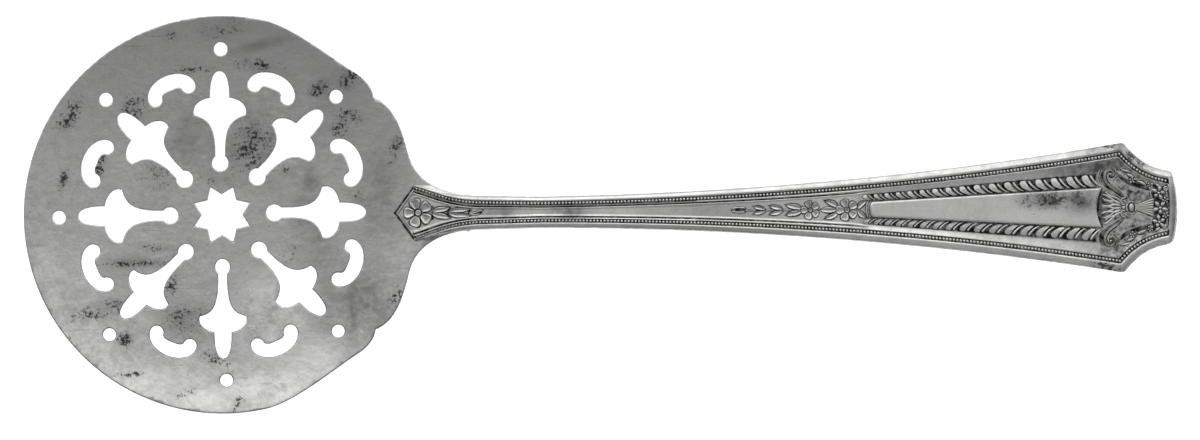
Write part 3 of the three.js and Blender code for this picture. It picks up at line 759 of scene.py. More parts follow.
def border_section(x):
    """Struck border from under the edge to the field: (distance from the edge, height, tarnish)."""
    lip, foot, field = bead_margin(x) - channel_half(x), bead_margin(x) + channel_half(x), field_margin(x)
    faint = mix(0.3, 1, ease(x, DROP_CORNER.x + 1, DROP_CORNER.x + 9))
    fade = ease(x, PANEL_START - 4, PANEL_START + 1)
    ridge = mix(0.16, 0.05, ease(x, STEM_START - 4, STEM_START + 25))
    inside = field + mix(0.12, 0.02, ease(x, DROP_CORNER.x, STEM_START + 6))
    section = [
        *WALL_SECTION,
        (0.05 * lip, -0.14, 0),
        (0.2 * lip, 0.03, 0),
        (0.42 * lip, 0.165, 0),
        (0.66 * lip, 0.27, 0),
        (lip - min(0.09, 0.25 * lip), 0.285, 0),
        (lip, 0.25, 0.4 * faint),
        (lip + 0.04, 0, 0.8 * faint),
        (foot - 0.04, 0, 1),
        (foot, mix(0.26, 0.1, fade), 0.8 * faint),
        (foot + 0.05, mix(0.3, 0.12, fade), 0),
    ]
    groove = [
        (field - 0.14, 0.27, 0),
        (field - 0.09, 0.24, 0.2),
        (field - 0.05, 0.02, 1),
        (inside + 0.06, -0.04, 1),
        (inside + 0.1, 0.3 * ridge, 0.5),
        (inside + 0.15, 0.8 * ridge, 0),
        (inside + 0.22, ridge, 0),
        (inside + 0.3, 0.85 * ridge, 0),
        (inside + 0.38, 0.2 * ridge, 0),
        (inside + 0.46, 0, 0),
        (inside + 0.58, 0, 0),
    ]
    if not fade:
        return section + groove
    width, beside = strip_width(x), mix(0.8, 0.3, ease(x, PANEL_END - 2, PANEL_END + 1))
    for (distance, height, mark), (share, slope, dark) in zip(groove, STRIP):
        distance = mix(distance, foot + 0.05 + share * width, fade)
        section.append((distance, mix(height, slope, fade), mix(mark, dark * beside, fade)))
    return section


# The same section along the drop's point and across the end of the handle
FRONT_SECTION = [
    (0.6, -BLANK, 1),
    (0.25, 0.1 - BLANK, 1),
    (0.05, 0.38 - BLANK, 1),
    (0, 0.8 - BLANK, 1),
    (0, -0.6, 0.5),
    (0.01, -0.56, 0.3),
    (0.015, -0.54, 0.2),
    (0.02, -0.53, 0.2),
    (0.025, -0.52, 0.2),
    (0.03, -0.52, 0.2),
    (0.035, -0.52, 0.2),
    (0.04, -0.53, 0.3),
    (0.05, -0.55, 0.4),
    (0.06, -0.58, 0.6),
    (0.08, -0.62, 0.8),
    (0.1, -0.68, 1),
    (0.12, -0.75, 1),
    (0.16, -0.8, 1),
    (0.34, -0.8, 1),
    (0.39, -0.3, 1),
    (0.41, 0.06, 0.2),
    (0.48, 0.19, 0),
    (0.6, 0.27, 0),
    (0.7, 0.19, 0.1),
    (0.78, 0, 0.6),
    (0.92, 0, 0.1),
]
END_SECTION = [
    *WALL_SECTION,
    (0.06, -0.14, 0),
    (0.22, 0.05, 0),
    (0.46, 0.19, 0),
    (0.75, 0.28, 0),
    (0.95, 0.32, 0),
    (1.02, 0.33, 0),
    (1.08, 0.335, 0),
    (1.14, 0.335, 0),
    (1.2, 0.33, 0),
    (1.26, 0.32, 0),
    (1.32, 0.3, 0),
    (1.38, 0.27, 0.2),
    (1.43, 0.1, 0.8),
    (1.5, -0.03, 1),
    (1.56, 0, 0.9),
    (1.6, 0, 0.75),
    (1.64, 0, 0.6),
    (1.72, 0, 0.5),
    (1.8, 0, 0.4),
    (1.9, 0, 0.3),
    (2, 0, 0.3),
]
# The runs of a ring of the handle, and how many steps each has
DROP_RUN, SIDE_RUN, SCALLOP_RUN, END_RUN = range(4)
RUN_COUNTS = (14, 340, 48, 20)


def border_runs(level):
    """The four runs of one ring of the handle, trimmed at the corners: drop, side, scallop and end."""
    front = [Vector((DROP_POINT, 0)).lerp(DROP_CORNER, i / 20) for i in range(21)]
    runs = [front, side_run(), scallop_run(), end_run()]
    moved = [inwards(front, [FRONT_SECTION[level][0]] * len(front))]
    for run in runs[1:3]:
        moved.append(inwards(run, [border_section(p.x)[level][0] for p in run]))
    moved.append(inwards(runs[3], [END_SECTION[level][0]] * len(runs[3])))
    for i in range(3):
        moved[i], moved[i + 1] = trimmed(moved[i], moved[i + 1])
    front = moved[0]
    k = next(i for i, p in enumerate(front) if p.y > 0)
    if k:
        low, high = front[k - 1], front[k]
        front = [low.lerp(high, -low.y / (high.y - low.y))] + front[k:]
    front[0].y = 0
    moved[0] = front
    moved[3][-1].y = 0
    placed = [spaced(run, count) for run, count in zip(moved, RUN_COUNTS)]
    depth = border_section(EAR_AT)[level][0]
    for i, radius in ((0, 0.25), (1, max(0.15, 0.45 - depth)), (2, max(0.1, 0.7 - depth))):
        placed[i], placed[i + 1] = softened(placed[i], placed[i + 1], radius)
    return placed


# Levels of the border section: its outer wall, the side above it, the bead channel and the strip
EDGE_LEVELS = range(3, 6)
FLANK_LEVELS = range(4, 9)
CHANNEL_LEVELS = range(10, 13)
CHANNEL_WALL_LEVELS = range(10, 12)
STRIP_LEVELS = range(15, 24)


def border_tarnish_and_shade(part, level, x, mark):
    """Tarnish and painted shade at one place of the border, on the upper and lower side of the handle."""
    if part in (SIDE_RUN, SCALLOP_RUN) and level in STRIP_LEVELS:
        # painted shade on the strip: dark on the upper side, fainter on the lower side
        film = ease(x, PANEL_START, PANEL_START + 8) * mix(0.1, 0.26, ease(x, EAR_AT - 18.5, EAR_AT - 2.5))
        return max(mark, strip_shade_and_tarnish(x)), max(mark, film)
    upper = lower = mark
    if part == SIDE_RUN:
        rubbed = 1 - ease(x, DROP_CORNER.x + 4, STEM_START + 1)
        if level in CHANNEL_WALL_LEVELS:
            upper = mark * (1 - rubbed)
        if level in CHANNEL_LEVELS:
            lower = mark * (1 - 0.55 * rubbed)
        if level in FLANK_LEVELS:
            # painted shade along the lower flank near the drop
            lower = max(lower, 0.6 * (1 - ease(x, DROP_CORNER.x + 4, STEM_START)))
    # painted shade: a dark line along the lower edge, the side turned from the light
    if part != DROP_RUN and level in EDGE_LEVELS:
        lower = max(lower, 0.5)
    return upper, lower


def handle_body(material):
    piece = open_sheet("handle_blank")
    rings, tarnish = [], []
    for level in range(len(END_SECTION)):
        upper, upper_marks, lower_marks = [], [], []
        for part, run in enumerate(border_runs(level)):
            for place in run if part == DROP_RUN else run[1:]:
                border = border_section(place.x)[level]
                _, z, mark = (FRONT_SECTION[level], border, border, END_SECTION[level])[part]
                upper.append((place.x, place.y, z))
                # the two sides differ by painted shade on the side turned from the light
                above, below = border_tarnish_and_shade(part, level, place.x, mark)
                upper_marks.append(above)
                lower_marks.append(below)
        rings.append(upper + [(x, -y, z) for x, y, z in reversed(upper[1:-1])])
        tarnish += upper_marks + lower_marks[-2:0:-1]
    ring_solid(piece, rings, ladder=True)
    close_sheet(piece)
    piece.data.attributes["hollow"].data.foreach_set("value", tarnish)
    return finish_piece(piece, form_handle, "handle", material, 50)


def bead_places():
    rows = [inwards(run, [bead_margin(p.x) for p in run]) for run in (side_run(), scallop_run())]
    side, scallop = trimmed(*rows)
    path = [p for p in side + scallop[1:] if DROP_CORNER.x + 0.5 < p.x < HANDLE_END - 1.9]
    length = sum((b - a).length for a, b in zip(path, path[1:]))
    return spaced(path, round(length / BEAD_PITCH))


def beading(material):
    """Rows of small round beads in the channel of the border: one bead, copied along both sides."""
    bpy.ops.object.select_all(action="DESELECT")
    bpy.ops.mesh.primitive_uv_sphere_add(segments=10, ring_count=7, radius=1)
    pattern = bpy.context.object
    shape = [corner.co.copy() for corner in pattern.data.vertices]
    faces = [tuple(face.vertices) for face in pattern.data.polygons]
    bpy.data.objects.remove(pattern)
    corners, sides, tarnish = [], [], []
    for place in bead_places():
        rubbed = 1 - ease(place.x, DROP_CORNER.x + 4, STEM_START + 1)
        for y, size in ((place.y, mix(1, 0.8, rubbed)), (-place.y, mix(1, 0.6, rubbed))):
            first = len(corners)
            middle = Vector((place.x, y, BEAD_SEAT))
            corners += [middle + size * (BEAD_HALVES * c) for c in shape]
            sides += [tuple(first + k for k in face) for face in faces]
            tarnish += [(1 - ease(c.z, 0, 0.5)) * (1 - 0.6 * rubbed if y < 0 else 1) for c in shape]
    row = bpy.data.meshes.new("handle_beading")
    row.from_pydata(corners, [], sides)
    row.attributes.new("hollow", "FLOAT", "POINT").data.foreach_set("value", tarnish)
    piece = bpy.data.objects.new("handle_beading", row)
    bpy.context.scene.collection.objects.link(piece)
    return finish_piece(piece, form_handle, "handle", material, 60)


def panel(material):
    """The plain panel between the leaf bands: a rounded start, flaring sides and a hollow end."""
    start, end = PANEL_START - 0.3, PANEL_END
    profile = [(0, -FOOT), (0, 0.1), (0.05, 0.18), (0.16, 0.235), (0.3, 0.25), (0.42, 0.25)]
    rings = []
    for inset, z in profile:
        near, far = panel_half(start) - inset, panel_half(end) - inset
        left, right = start + inset, end - 0.95 - inset
        upper = curve([(left, 0), (left, near), (left + 0.7, near)], 12)
        upper += curve([(left + 0.7, near), (end - 1.5 * inset, far)], 60)[1:]
        upper = upper[:-1] + curve([(end - 1.5 * inset, far), (right, far / 2), (right, 0)], 16)
        rings.append(at_height(mirrored(upper), z))
    piece = open_sheet("handle_panel")
    ring_solid(piece, rings)
    close_sheet(piece)
    score(piece, (1, 0, 0), [start + 0.8 * i for i in range(1, 50)])
    return finish_piece(piece, form_handle, "handle", material, 50)


# Leaves, petals and ribbons


# Films of painted shade overlap, so each lies at a height of its own
FILMS = itertools.count(1)


def shade(piece, outline, reach, level=1.0):
    """A film of painted shade and tarnish round the foot of an ornament: black beside it and fading
    outwards.
    """
    top = 0.008 + 0.00012 * (next(FILMS) % 60)
    outer, edge = grown(outline, reach), grown(outline, 0.4 * reach)
    rings = [
        at_height(outer, -FOOT),
        at_height(outer, top),
        at_height(edge, top + 0.003),
        at_height(outline, top + 0.004),
    ]
    ring_solid(piece, rings, marks=[0, 0, 0.85 * level, level])


def two_sided(half):
    """A whole section from its half, which ends on the middle line."""
    return half + [(-across, rise) for across, rise in half[-2::-1]]


# Sections of the relief: (share across, share of the height), and how dark each line along it is
LEAF_SECTION = two_sided(
    [(-1, 0), (-0.92, 0.62), (-0.78, 1), (-0.6, 0.92), (-0.44, 0.6), (-0.16, 0.56), (0, 0.36)]
)
LEAF_MARKS = [1, 0.7, 0, 0, 0.32, 0.36, 0.62, 0.36, 0.32, 0, 0, 0.7, 1]
ROUND_SECTION = two_sided([(-1, 0), (-0.88, 0.55), (-0.52, 0.92), (0, 1)])
ROUND_MARKS = [1, 0.5, 0, 0, 0, 0.5, 1]
DIM_MARKS = [1, 0.8, 0.36, 0.12, 0.3, 0.8, 1]
GUTTER_SECTION = two_sided([(-1, 0), (-0.9, 0.6), (-0.68, 1), (-0.42, 0.7), (0, 0.5)])
GUTTER_MARKS = [1, 0.6, 0, 0.2, 0.35, 0.2, 0, 0.6, 1]
FLUTED_SECTION = two_sided([(-1, 0), (-0.93, 0.6), (-0.76, 0.96), (-0.5, 0.8), (-0.26, 1), (0, 0.82)])
FLUTED_MARKS = [1, 0.55, 0, 0.22, 0, 0.3, 0, 0.22, 0, 0.55, 1]
VEINED_SECTION = two_sided(
    [(-1, 0), (-0.95, 0.55), (-0.86, 0.95), (-0.72, 1), (-0.6, 0.86)]
    + [(-0.48, 0.55), (-0.3, 0.56), (-0.14, 0.42), (0, 0.54)]
)
VEINED_MARKS = [1, 0.7, 0.1, 0, 0.05, 0.42, 0.34, 0.55, 0.34, 0.55, 0.34, 0.42, 0.05, 0, 0.1, 0.7, 1]

# One side of a petal: (distance from the flower's centre, distance from the petal's vein)
PETAL_EDGE = [
    (0.27, 0.1),
    (0.36, 0.21),
    (0.5, 0.31),
    (0.64, 0.385),
    (0.78, 0.41),
    (0.89, 0.36),
    (0.96, 0.24),
    (0.985, 0.06),
]


def leaf(piece, outer, inner, height=0.2, reach=0.22, plump=False):
    """A leaf between two edges drawn from root to tip: plump, or with raised rims and a sunk vein."""
    count = 13
    left, right = smooth_run(outer, count), smooth_run(inner, count)
    shade(piece, left + right[-2:0:-1], reach)
    heights = [height * mix(0.6, 1, math.sin(math.pi * i / count)) for i in range(count + 1)]
    section, marks = (ROUND_SECTION, DIM_MARKS) if plump else (LEAF_SECTION, LEAF_MARKS)
    loft(piece, left, right, heights, section, marks)


def leaf_pair(piece, outer, inner, height=0.2, reach=0.3):
    leaf(piece, outer, inner, height, reach)
    leaf(piece, flipped(outer), flipped(inner), height, reach)


def almond(piece, root, tip, half, bend=0.0, height=0.2, reach=0.2, plump=False):
    """A leaf alike on both sides of its vein."""
    root, tip = Vector(root), Vector(tip)
    along = tip - root
    aside = Vector((-along.y, along.x)).normalized()
    shares = [(0, 0.04), (0.2, 0.62), (0.45, 1), (0.7, 0.82), (0.9, 0.34), (1, 0.03)]
    edges = []
    for side in (1, -1):
        edges.append(
            [root + along * t + aside * (side * half * s + bend * math.sin(math.pi * t)) for t, s in shares]
        )
    leaf(piece, *edges, height, reach, plump)


def petal(piece, centre, ray, radius, height):
    """A petal narrowing towards the boss, veined, with a raised rim round its outer end."""
    across = Vector((-ray.y, ray.x))
    edges = []
    for side in (1, -1):
        edge = [centre + (ray * u + across * (side * w)) * radius for u, w in PETAL_EDGE]
        edges.append(smooth_run(edge, 15))
    left, right = edges
    shade(piece, left + right[::-1], 0.05 * radius + 0.13)
    heights = [height * mix(0.5, 1, min(1, i / 8)) for i in range(16)]
    loft(piece, left, right, heights, VEINED_SECTION, VEINED_MARKS, [ease(i, 9, 11.5) for i in range(16)])


# Profiles of the bosses: (share of the radius, height, tarnish)
ROSE_BOSS = [(1, -FOOT, 1), (1, 0.1, 1), (0.94, 0.24, 0.4), (0.78, 0.31, 0), (0.58, 0.29, 0)]
ROSE_BOSS += [(0.44, 0.2, 0.8), (0.3, 0.2, 0.9), (0.22, 0.27, 0.2), (0.08, 0.29, 0)]
BALL = [(1, -FOOT, 1), (1, 0.06, 0.9), (0.92, 0.16, 0.3), (0.75, 0.26, 0), (0.5, 0.32, 0), (0.2, 0.34, 0)]


def boss(piece, centre, radius, steps):
    """A round boss turned to a profile of (share of the radius, height, tarnish)."""
    centre = Vector(centre)
    outline = [centre + polar(radius, 22.5 * k) for k in range(16)]
    rings = [at_height([centre.lerp(p, share) for p in outline], z) for share, z, _ in steps]
    ring_solid(piece, rings, marks=[mark for _, _, mark in steps])


def flower(piece, centre, radius, first=180, petals=5, height=0.25):
    """A wild rose: cupped petals round a ringed boss."""
    centre = Vector(centre)
    shade(piece, [centre + polar(0.62 * radius, 22.5 * k) for k in range(16)], 0.12 * radius)
    for i in range(petals):
        petal(piece, centre, polar(1, first + 360 / petals * i), radius, height)
    boss(piece, centre, 0.21 * radius, ROSE_BOSS)


def blossom(piece, centre, radius, first):
    """A small full blossom: uneven round petals standing out bright from a black ground."""
    centre = Vector(centre)
    shade(piece, [centre + polar(0.95 * radius, 22.5 * k) for k in range(16)], 0.3 * radius)
    for i, length in enumerate((1, 0.84, 1.12, 0.9, 1.05)):
        ray = polar(radius, first + 72 * i)
        almond(piece, centre + 1.05 * length * ray, centre + 0.2 * ray, 0.34 * radius, 0, 0.33, 0.12, True)
    boss(piece, centre, 0.22 * radius, BALL)


def ribbon(piece, points, half, height, count, taper=0.5, section=None, marks=None, reach=0.12):
    """A ribbon along a smooth run, narrowing towards both ends."""
    spine = smooth_run(points, count)
    shares = [i / count for i in range(count + 1)]
    halves = [half * mix(taper, 1, min(1, 6 * min(t, 1 - t))) for t in shares]
    left, right = both_edges(spine, halves)
    if reach:
        shade(piece, left + right[::-1], reach)
    loft(piece, left, right, [height] * (count + 1), section or ROUND_SECTION, marks or ROUND_MARKS)


def painted_shade_band(piece, points, half, fade=0.3, level=0.9):
    """A band of painted shade laid on the ground, black and thinning out towards its ends."""
    spine = smooth_run(points, 16)
    halves = [half * mix(0.25, 1, math.sin(math.pi * i / 16) ** 0.6) for i in range(17)]
    left, right = both_edges(spine, halves)
    shade(piece, left + right[::-1], fade, level)


# Ornament of the handle


# Edges of the two lobes of a cut leaf, as shares of its pitch along the band and of the band's width
LOBE_EDGES = [
    [(0.14, 0.99), (0.03, 0.84), (0.05, 0.62), (0.17, 0.39), (0.38, 0.2), (0.72, 0.0)],
    [(0.3, 1.01), (0.45, 0.9), (0.54, 0.68), (0.7, 0.41), (0.87, 0.2), (1.04, 0.03)],
]
FINGER_EDGES = [
    [(0.54, 0.95), (0.56, 0.85), (0.65, 0.65), (0.83, 0.38), (1.0, 0.19), (1.2, 0.04)],
    [(0.66, 0.98), (0.74, 0.86), (0.84, 0.65), (1.02, 0.39), (1.2, 0.2), (1.44, 0.03)],
]


def band_ground(piece, side):
    """The black ground under one row of leaves."""
    section = [(-1, 0), (-0.98, 1), (-0.9, 1), (-0.2, 1), (0.5, 1), (0.86, 1), (0.98, 1), (1, 0)]
    marks = [0.7, 0.8, 1, 1, 1, 1, 0.7, 0]
    places = [mix(PANEL_START - 1.5, PANEL_END - 0.25, i / 50) for i in range(51)]
    heights = [0.006] * len(places)
    inner = [Vector((x, side * (panel_half(x) + 0.02))) for x in places]
    outer = [Vector((x, side * (panel_half(x) + 0.16 + 1.06 * band_width(x)))) for x in places]
    if side > 0:
        loft(piece, outer, inner, heights, section, marks)
    else:
        loft(piece, inner, outer, heights, [(-a, z) for a, z in reversed(section)], marks[::-1])


def band_lobe(piece, x, pitch, side, edges, section, marks):
    """One lobe of a cut leaf on the upper or lower side of the panel."""
    runs = []
    for edge in edges:
        run = []
        for u, v in edge:
            at = min(x + u * pitch, PANEL_END + 0.1)
            run.append((at, side * (panel_half(at) + 0.12 + v * band_width(at))))
        runs.append(smooth_run(run, 15))
    left, right = runs if side < 0 else runs[::-1]
    heights = [BAND_RELIEF * mix(0.7, 1, min(1, 3 * min(i, 15 - i) / 15)) for i in range(16)]
    loft(piece, left, right, heights, section, marks)


def leaf_bands(material):
    """Two rows of cut leaves, each with a broad lobe and a finger, lying back along the panel."""
    piece = open_sheet("handle_leaf_bands")
    for side in (1, -1):
        band_ground(piece, side)
    x = PANEL_START - 1.6
    while x < PANEL_END - 1.6:
        pitch = mix(LEAF_PITCH_START, LEAF_PITCH_END, min(1, max(0, panel_share(x) / 0.5)))
        for side in (1, -1):
            band_lobe(piece, x, pitch, side, LOBE_EDGES, FLUTED_SECTION, FLUTED_MARKS)
            band_lobe(piece, x, pitch, side, FINGER_EDGES, ROUND_SECTION, ROUND_MARKS)
        x += pitch
    return finish_piece(close_sheet(piece), form_handle, "handle", material, 60)


def sprays(material):
    """Wild roses with leaves: one spray on the drop, one running down the blade to the panel."""
    piece = open_sheet("handle_sprays")
    drop_spray(piece)
    blade_spray(piece)
    return finish_piece(close_sheet(piece), form_handle, "handle", material, 60)


def drop_spray(piece):
    flower(piece, (33.95, 0.02), 2.5)
    leaf_pair(
        piece,
        [(36.4, 0.06), (36.65, 0.55), (37.4, 0.98), (38.5, 1.07), (39.45, 0.95)],
        [(36.45, 0.02), (37.3, 0.05), (38.2, 0.08), (38.9, 0.36), (39.43, 0.88)],
    )
    leaf_pair(
        piece,
        [(39.15, 0.06), (39.9, 0.62), (40.8, 0.84), (42, 0.8), (43.1, 0.66)],
        [(39.2, 0.02), (40.3, 0.05), (41.4, 0.08), (42.3, 0.24), (43.07, 0.6)],
    )
    for side in (1, -1):
        for gap in (
            [(36.25, 0.4), (36.75, 0.75), (36.6, 1.15), (36.15, 1.2)],
            [(38.7, 0.16), (39.15, 0.12), (39.8, 0.82), (39.5, 0.86)],
            [(42.5, 0.12), (42.9, 0.1), (43.35, 0.5), (43.1, 0.54)],
        ):
            shade(piece, [Vector((x, side * y)) for x, y in gap], 0.12)
    ribbon(piece, [(42.7, -0.08), (43.6, -0.06), (44.4, 0.16), (45.3, 0.44)], 0.13, 0.2, 12, reach=0.14)
    ribbon(piece, [(42.8, -0.2), (43.5, -0.34), (44.2, -0.34), (44.8, -0.2)], 0.12, 0.16, 12, reach=0.12)
    shade(piece, oval((44.8, -0.02), 0.36, 0.1, 12), 0.1)


def blade_spray(piece):
    shade(piece, oval((89.6, 0.1), 0.85, 0.18, 16), 0.06)
    upper_husk = [(90.65, 0.34), (90.1, 0.45), (89.4, 0.5), (88.7, 0.42), (88.3, 0.14)]
    lower_husk = [(90.65, -0.26), (90, -0.31), (89.2, -0.31), (88.6, -0.22), (88.2, 0.02)]
    for husk in (upper_husk, lower_husk):
        ribbon(piece, husk, 0.14, 0.2, 14, reach=0.14)
    for stalk, outer, inner in (
        (
            [(90.4, 0), (91.4, 0), (92.6, 0)],
            [(94.2, 0.06), (93.6, 0.5), (92.8, 0.76), (92, 0.66)],
            [(94.18, 0.02), (93.3, 0.05), (92.5, 0.2), (92.03, 0.58)],
        ),
        (
            [(94, 0), (94.8, 0.02), (95.6, 0)],
            [(97.2, 0.06), (96.76, 0.46), (96.2, 0.79), (95.45, 0.88), (94.75, 0.74)],
            [(97.18, 0.02), (96.3, 0.05), (95.7, 0.1), (95.15, 0.34), (94.8, 0.66)],
        ),
        (
            [(97, 0), (97.8, 0.02), (98.6, 0)],
            [(100.35, 0.2), (99.85, 0.8), (99, 1.06), (98.2, 1.05), (97.58, 0.86)],
            [(100.3, 0.03), (99.4, 0.05), (98.7, 0.12), (98.05, 0.45), (97.6, 0.78)],
        ),
    ):
        ribbon(piece, stalk, 0.11, 0.2, 10, 1)
        leaf_pair(piece, outer, inner)
    flower(piece, (101.8, -0.04), 1.6)
    leaf_pair(
        piece,
        [(106.55, 0.5), (106.35, 1.05), (105.8, 1.5), (105.1, 1.66), (104.3, 1.54)],
        [(106.5, 0.35), (105.9, 0.48), (105.3, 0.72), (104.8, 1.05), (104.33, 1.46)],
    )
    almond(piece, (106.5, -0.03), (103.4, -0.05), 0.56)
    flower(piece, (108.15, -0.08), 1.88)
    leaf_pair(
        piece,
        [(109.9, 0.12), (110.05, 0.85), (110.5, 1.36), (111.45, 1.5)],
        [(109.95, 0.04), (110.55, 0.28), (111.1, 0.75), (111.45, 1.42)],
    )
    arch = [(111.8, 1.45), (111.58, 0.8), (111.52, 0), (111.58, -0.8), (111.8, -1.45)]
    ribbon(piece, arch, 0.15, 0.24, 20, reach=0.2)


SCROLL_EYE = Vector((154.15, 5.8))
SCROLL_TAIL = [(153.12, 5.05), (153.5, 4.25), (154.2, 3.6), (155, 3.02), (155.65, 2.52), (156.2, 2)]
KNOT_CURL = [(156.95, 1.62), (156.4, 1.66), (155.97, 1.32), (155.97, 0.82), (156.35, 0.5), (156.75, 0.72)]
CURL_MARKS = [1, 0.7, 0.25, 0.1, 0.25, 0.7, 1]
STEM_MARKS = [0.95, 0.6, 0.16, 0.05, 0.16, 0.6, 0.95]
KNOT_MARKS = [1, 0.9, 0.5, 0.3, 0.22, 0.3]


def sheaf(material):
    """The tied sheaf at the end: scrolls, fanned stems, knot, blossoms and small garlands."""
    piece = open_sheet("handle_sheaf")
    turn = [(-120, 0.34), (-60, 0.42), (0, 0.52), (45, 0.62), (90, 0.75), (140, 0.92), (180, 1.02)]
    scroll = [tuple(SCROLL_EYE + polar(radius, degrees)) for degrees, radius in turn] + SCROLL_TAIL
    for side in (1, -1):
        place = (lambda points: points) if side > 0 else flipped
        # painted shade: black bands beside the garland and before the scroll
        painted_shade_band(piece, place([(155.1, 6), (157, 4.5), (159, 3.75), (161, 3.1)]), 0.26)
        painted_shade_band(piece, place([(152.95, 6.6), (152.6, 5.2), (153.2, 4), (154.3, 3.1)]), 0.2)
        ribbon(piece, place(scroll), 0.26, 0.33, 46, 0.55, GUTTER_SECTION, GUTTER_MARKS, 0.34)
        boss(piece, place([SCROLL_EYE])[0], 0.26, BALL)
        ribbon(piece, place(KNOT_CURL), 0.16, 0.3, 22, 0.6, marks=CURL_MARKS, reach=0.2)
        boss(piece, (156.62, 1.1 * side), 0.22, BALL)
        garland(piece, place)
    painted_shade_ground(piece)
    fan(piece)
    knot(piece)
    for x, y, radius, first in (
        (162.6, 2.5, 1.2, 150),
        (162.85, -0.1, 1.3, 200),
        (162.65, -2.55, 1.2, 170),
        (163.75, 1.15, 0.7, 100),
        (163.8, -1.4, 0.66, 60),
    ):
        blossom(piece, (x, y), radius, first)
    for x, y, radius in ((163.85, 3.25, 0.46), (161.35, 3.2, 0.34), (161.3, -3.3, 0.34)):
        boss(piece, (x, y), radius, ROSE_BOSS)
    almond(piece, (163.9, -2.9), (163.3, -4), 0.4, plump=True)
    almond(piece, (162.9, -3.5), (161.9, -4.1), 0.34, plump=True)
    almond(piece, (162.9, 3.5), (162, 4.1), 0.34, plump=True)
    return finish_piece(close_sheet(piece), form_handle, "handle", material, 60)


def painted_shade_ground(piece):
    """Painted shade, nearly black, on the ground beside the scrolls and under the blossoms."""
    before = [(152.9, 7), (152.3, 6.2), (152.1, 5), (152.8, 3.9), (153, 4.6), (152.8, 5.4), (153.1, 6.4)]
    behind = [(155.2, 6.2), (155.7, 5.6), (155, 4.9), (154.6, 4.6), (155, 5.3)]
    for side in (1, -1):
        for blot, level in ((before, 0.95), (behind, 0.7)):
            shade(piece, smooth_loop([(x, side * y) for x, y in blot]), 0.2, level)
    under_blossoms = [(163.7, 3.6), (161.6, 3.9), (161.9, 1.5), (161.7, -1.6), (161.6, -4), (163.7, -3.9)]
    shade(piece, smooth_loop(under_blossoms), 0.12, 1)


def garland(piece, place):
    """Small leaves and blossoms hanging from the ear to the end; place sets them on one side."""
    side = 1 if place([(0, 1)])[0][1] > 0 else -1
    for root, tip, half, bend in (
        ((155.9, 6.55), (157.8, 6.05), 0.28, 0.06),
        ((158.7, 4.6), (160.5, 3.85), 0.36, 0.06),
        ((156.9, 5.9), (158.3, 5.3), 0.32, -0.05),
    ):
        almond(piece, place([root])[0], place([tip])[0], half, bend * side, reach=0.24, plump=True)
    blossom(piece, place([(157.95, 4.75)])[0], 0.66, 90)
    blossom(piece, place([(161.05, 3.75)])[0], 0.6, 120)


def fan(piece):
    """The fanned stems before the knot and the tied stalks behind it."""
    edge = [(156, 0.8), (154.4, 2), (152.9, 3.1), (152.3, 1.7), (152.1, 0)]
    run = smooth_run(edge, 14)
    shade(piece, mirrored_loop(run), 0.1, 0.82)
    # painted shade: a black crescent at the end of the panel
    painted_shade_band(piece, [(152.7, 3.4), (152.1, 1.8), (151.9, 0), (152.1, -1.8), (152.7, -3.4)], 0.2, 0.16, 1)
    for i in range(11):
        y = 2.9 * (i - 5) / 5
        far = Vector((152.75 - 0.62 * (1 - (y / 3.4) ** 2) + (0.15, 0.55, 0.3)[i % 3], y))
        near = Vector((156.15, 0.27 * y))
        sway = (0.22, -0.16, 0.24, -0.2)[i % 4]
        stem = []
        for t in (0, 0.3, 0.55, 0.8, 1):
            stem.append(near.lerp(far, t) + Vector((0, sway * math.sin(2 * math.pi * t))))
        half, height = ((0.24, 0.2), (0.19, 0.16), (0.22, 0.18))[i % 3]
        ribbon(piece, stem, half, height, 16, 0.3, marks=STEM_MARKS, reach=0)
    shade(piece, [Vector(p) for p in [(158.3, 0.4), (161.9, 1.75), (161.9, -1.75), (158.3, -0.4)]], 0.3)
    for i in range(7):
        share = (i - 3) / 3
        spine = smooth_run([(158.35, 0.34 * share), (160, 0.85 * share), (161.9, 1.5 * share)], 12)
        left, right = both_edges(spine, [mix(0.08, 0.26, k / 12) for k in range(13)])
        loft(piece, left, right, [mix(0.32, 0.22, k / 12) for k in range(13)], ROUND_SECTION, STEM_MARKS)


def knot(piece):
    """The tie round the stems: a plump knot between two turns of cord."""
    middle = Vector((157.8, 0))
    outline = oval(middle, 0.5, 0.8, 16)
    shade(piece, outline, 0.3)
    rings = [at_height([middle.lerp(p, share) for p in outline], z) for share, z, _ in BALL]
    ring_solid(piece, rings, marks=KNOT_MARKS)
    for x, bulge in ((157.12, -0.14), (158.42, 0.1)):
        cord = [(x, 0.72), (x + bulge, 0.36), (x + 1.2 * bulge, 0), (x + bulge, -0.36), (x, -0.72)]
        ribbon(piece, cord, 0.16, 0.26, 12, 0.5, reach=0.14)
    boss(piece, (156.4, 0), 0.32, BALL)


# Solder


# Section of the seam, away from the drop: (share of its reach, share of its height)
SEAM_SECTION = [(0, 0), (0.02, 1), (0.12, 0.97), (0.28, 0.84), (0.45, 0.6)]
SEAM_SECTION += [(0.62, 0.35), (0.8, 0.13), (0.97, 0.01), (1, 0)]
SEAM_END = 43.2
SEAM_REACH = 2.2
SEAM_LAP = 0.06  # how far the seam reaches under the edge of the drop
SEAM_FOOT = 0.08  # and how deep it is rooted in the sheet


def seam_reach(run, i, outline):
    """Which way the seam runs out beside the drop, and how far before it meets the rim of the head."""
    rows = len(run)
    along = heading(run, i)
    out = Vector((-along.y, along.x))
    far = run[i] + out * 4
    hits = [intersect_line_line_2d(run[i], far, a, b) for a, b in zip(outline, outline[1:])]
    room = min([(h - run[i]).length for h in hits if h] or [4])
    fade = ease(i, 1, 26) * (1 - ease(i, 0.75 * rows, rows))
    return out, max(0.04, min(SEAM_REACH, room - 0.12) * fade)


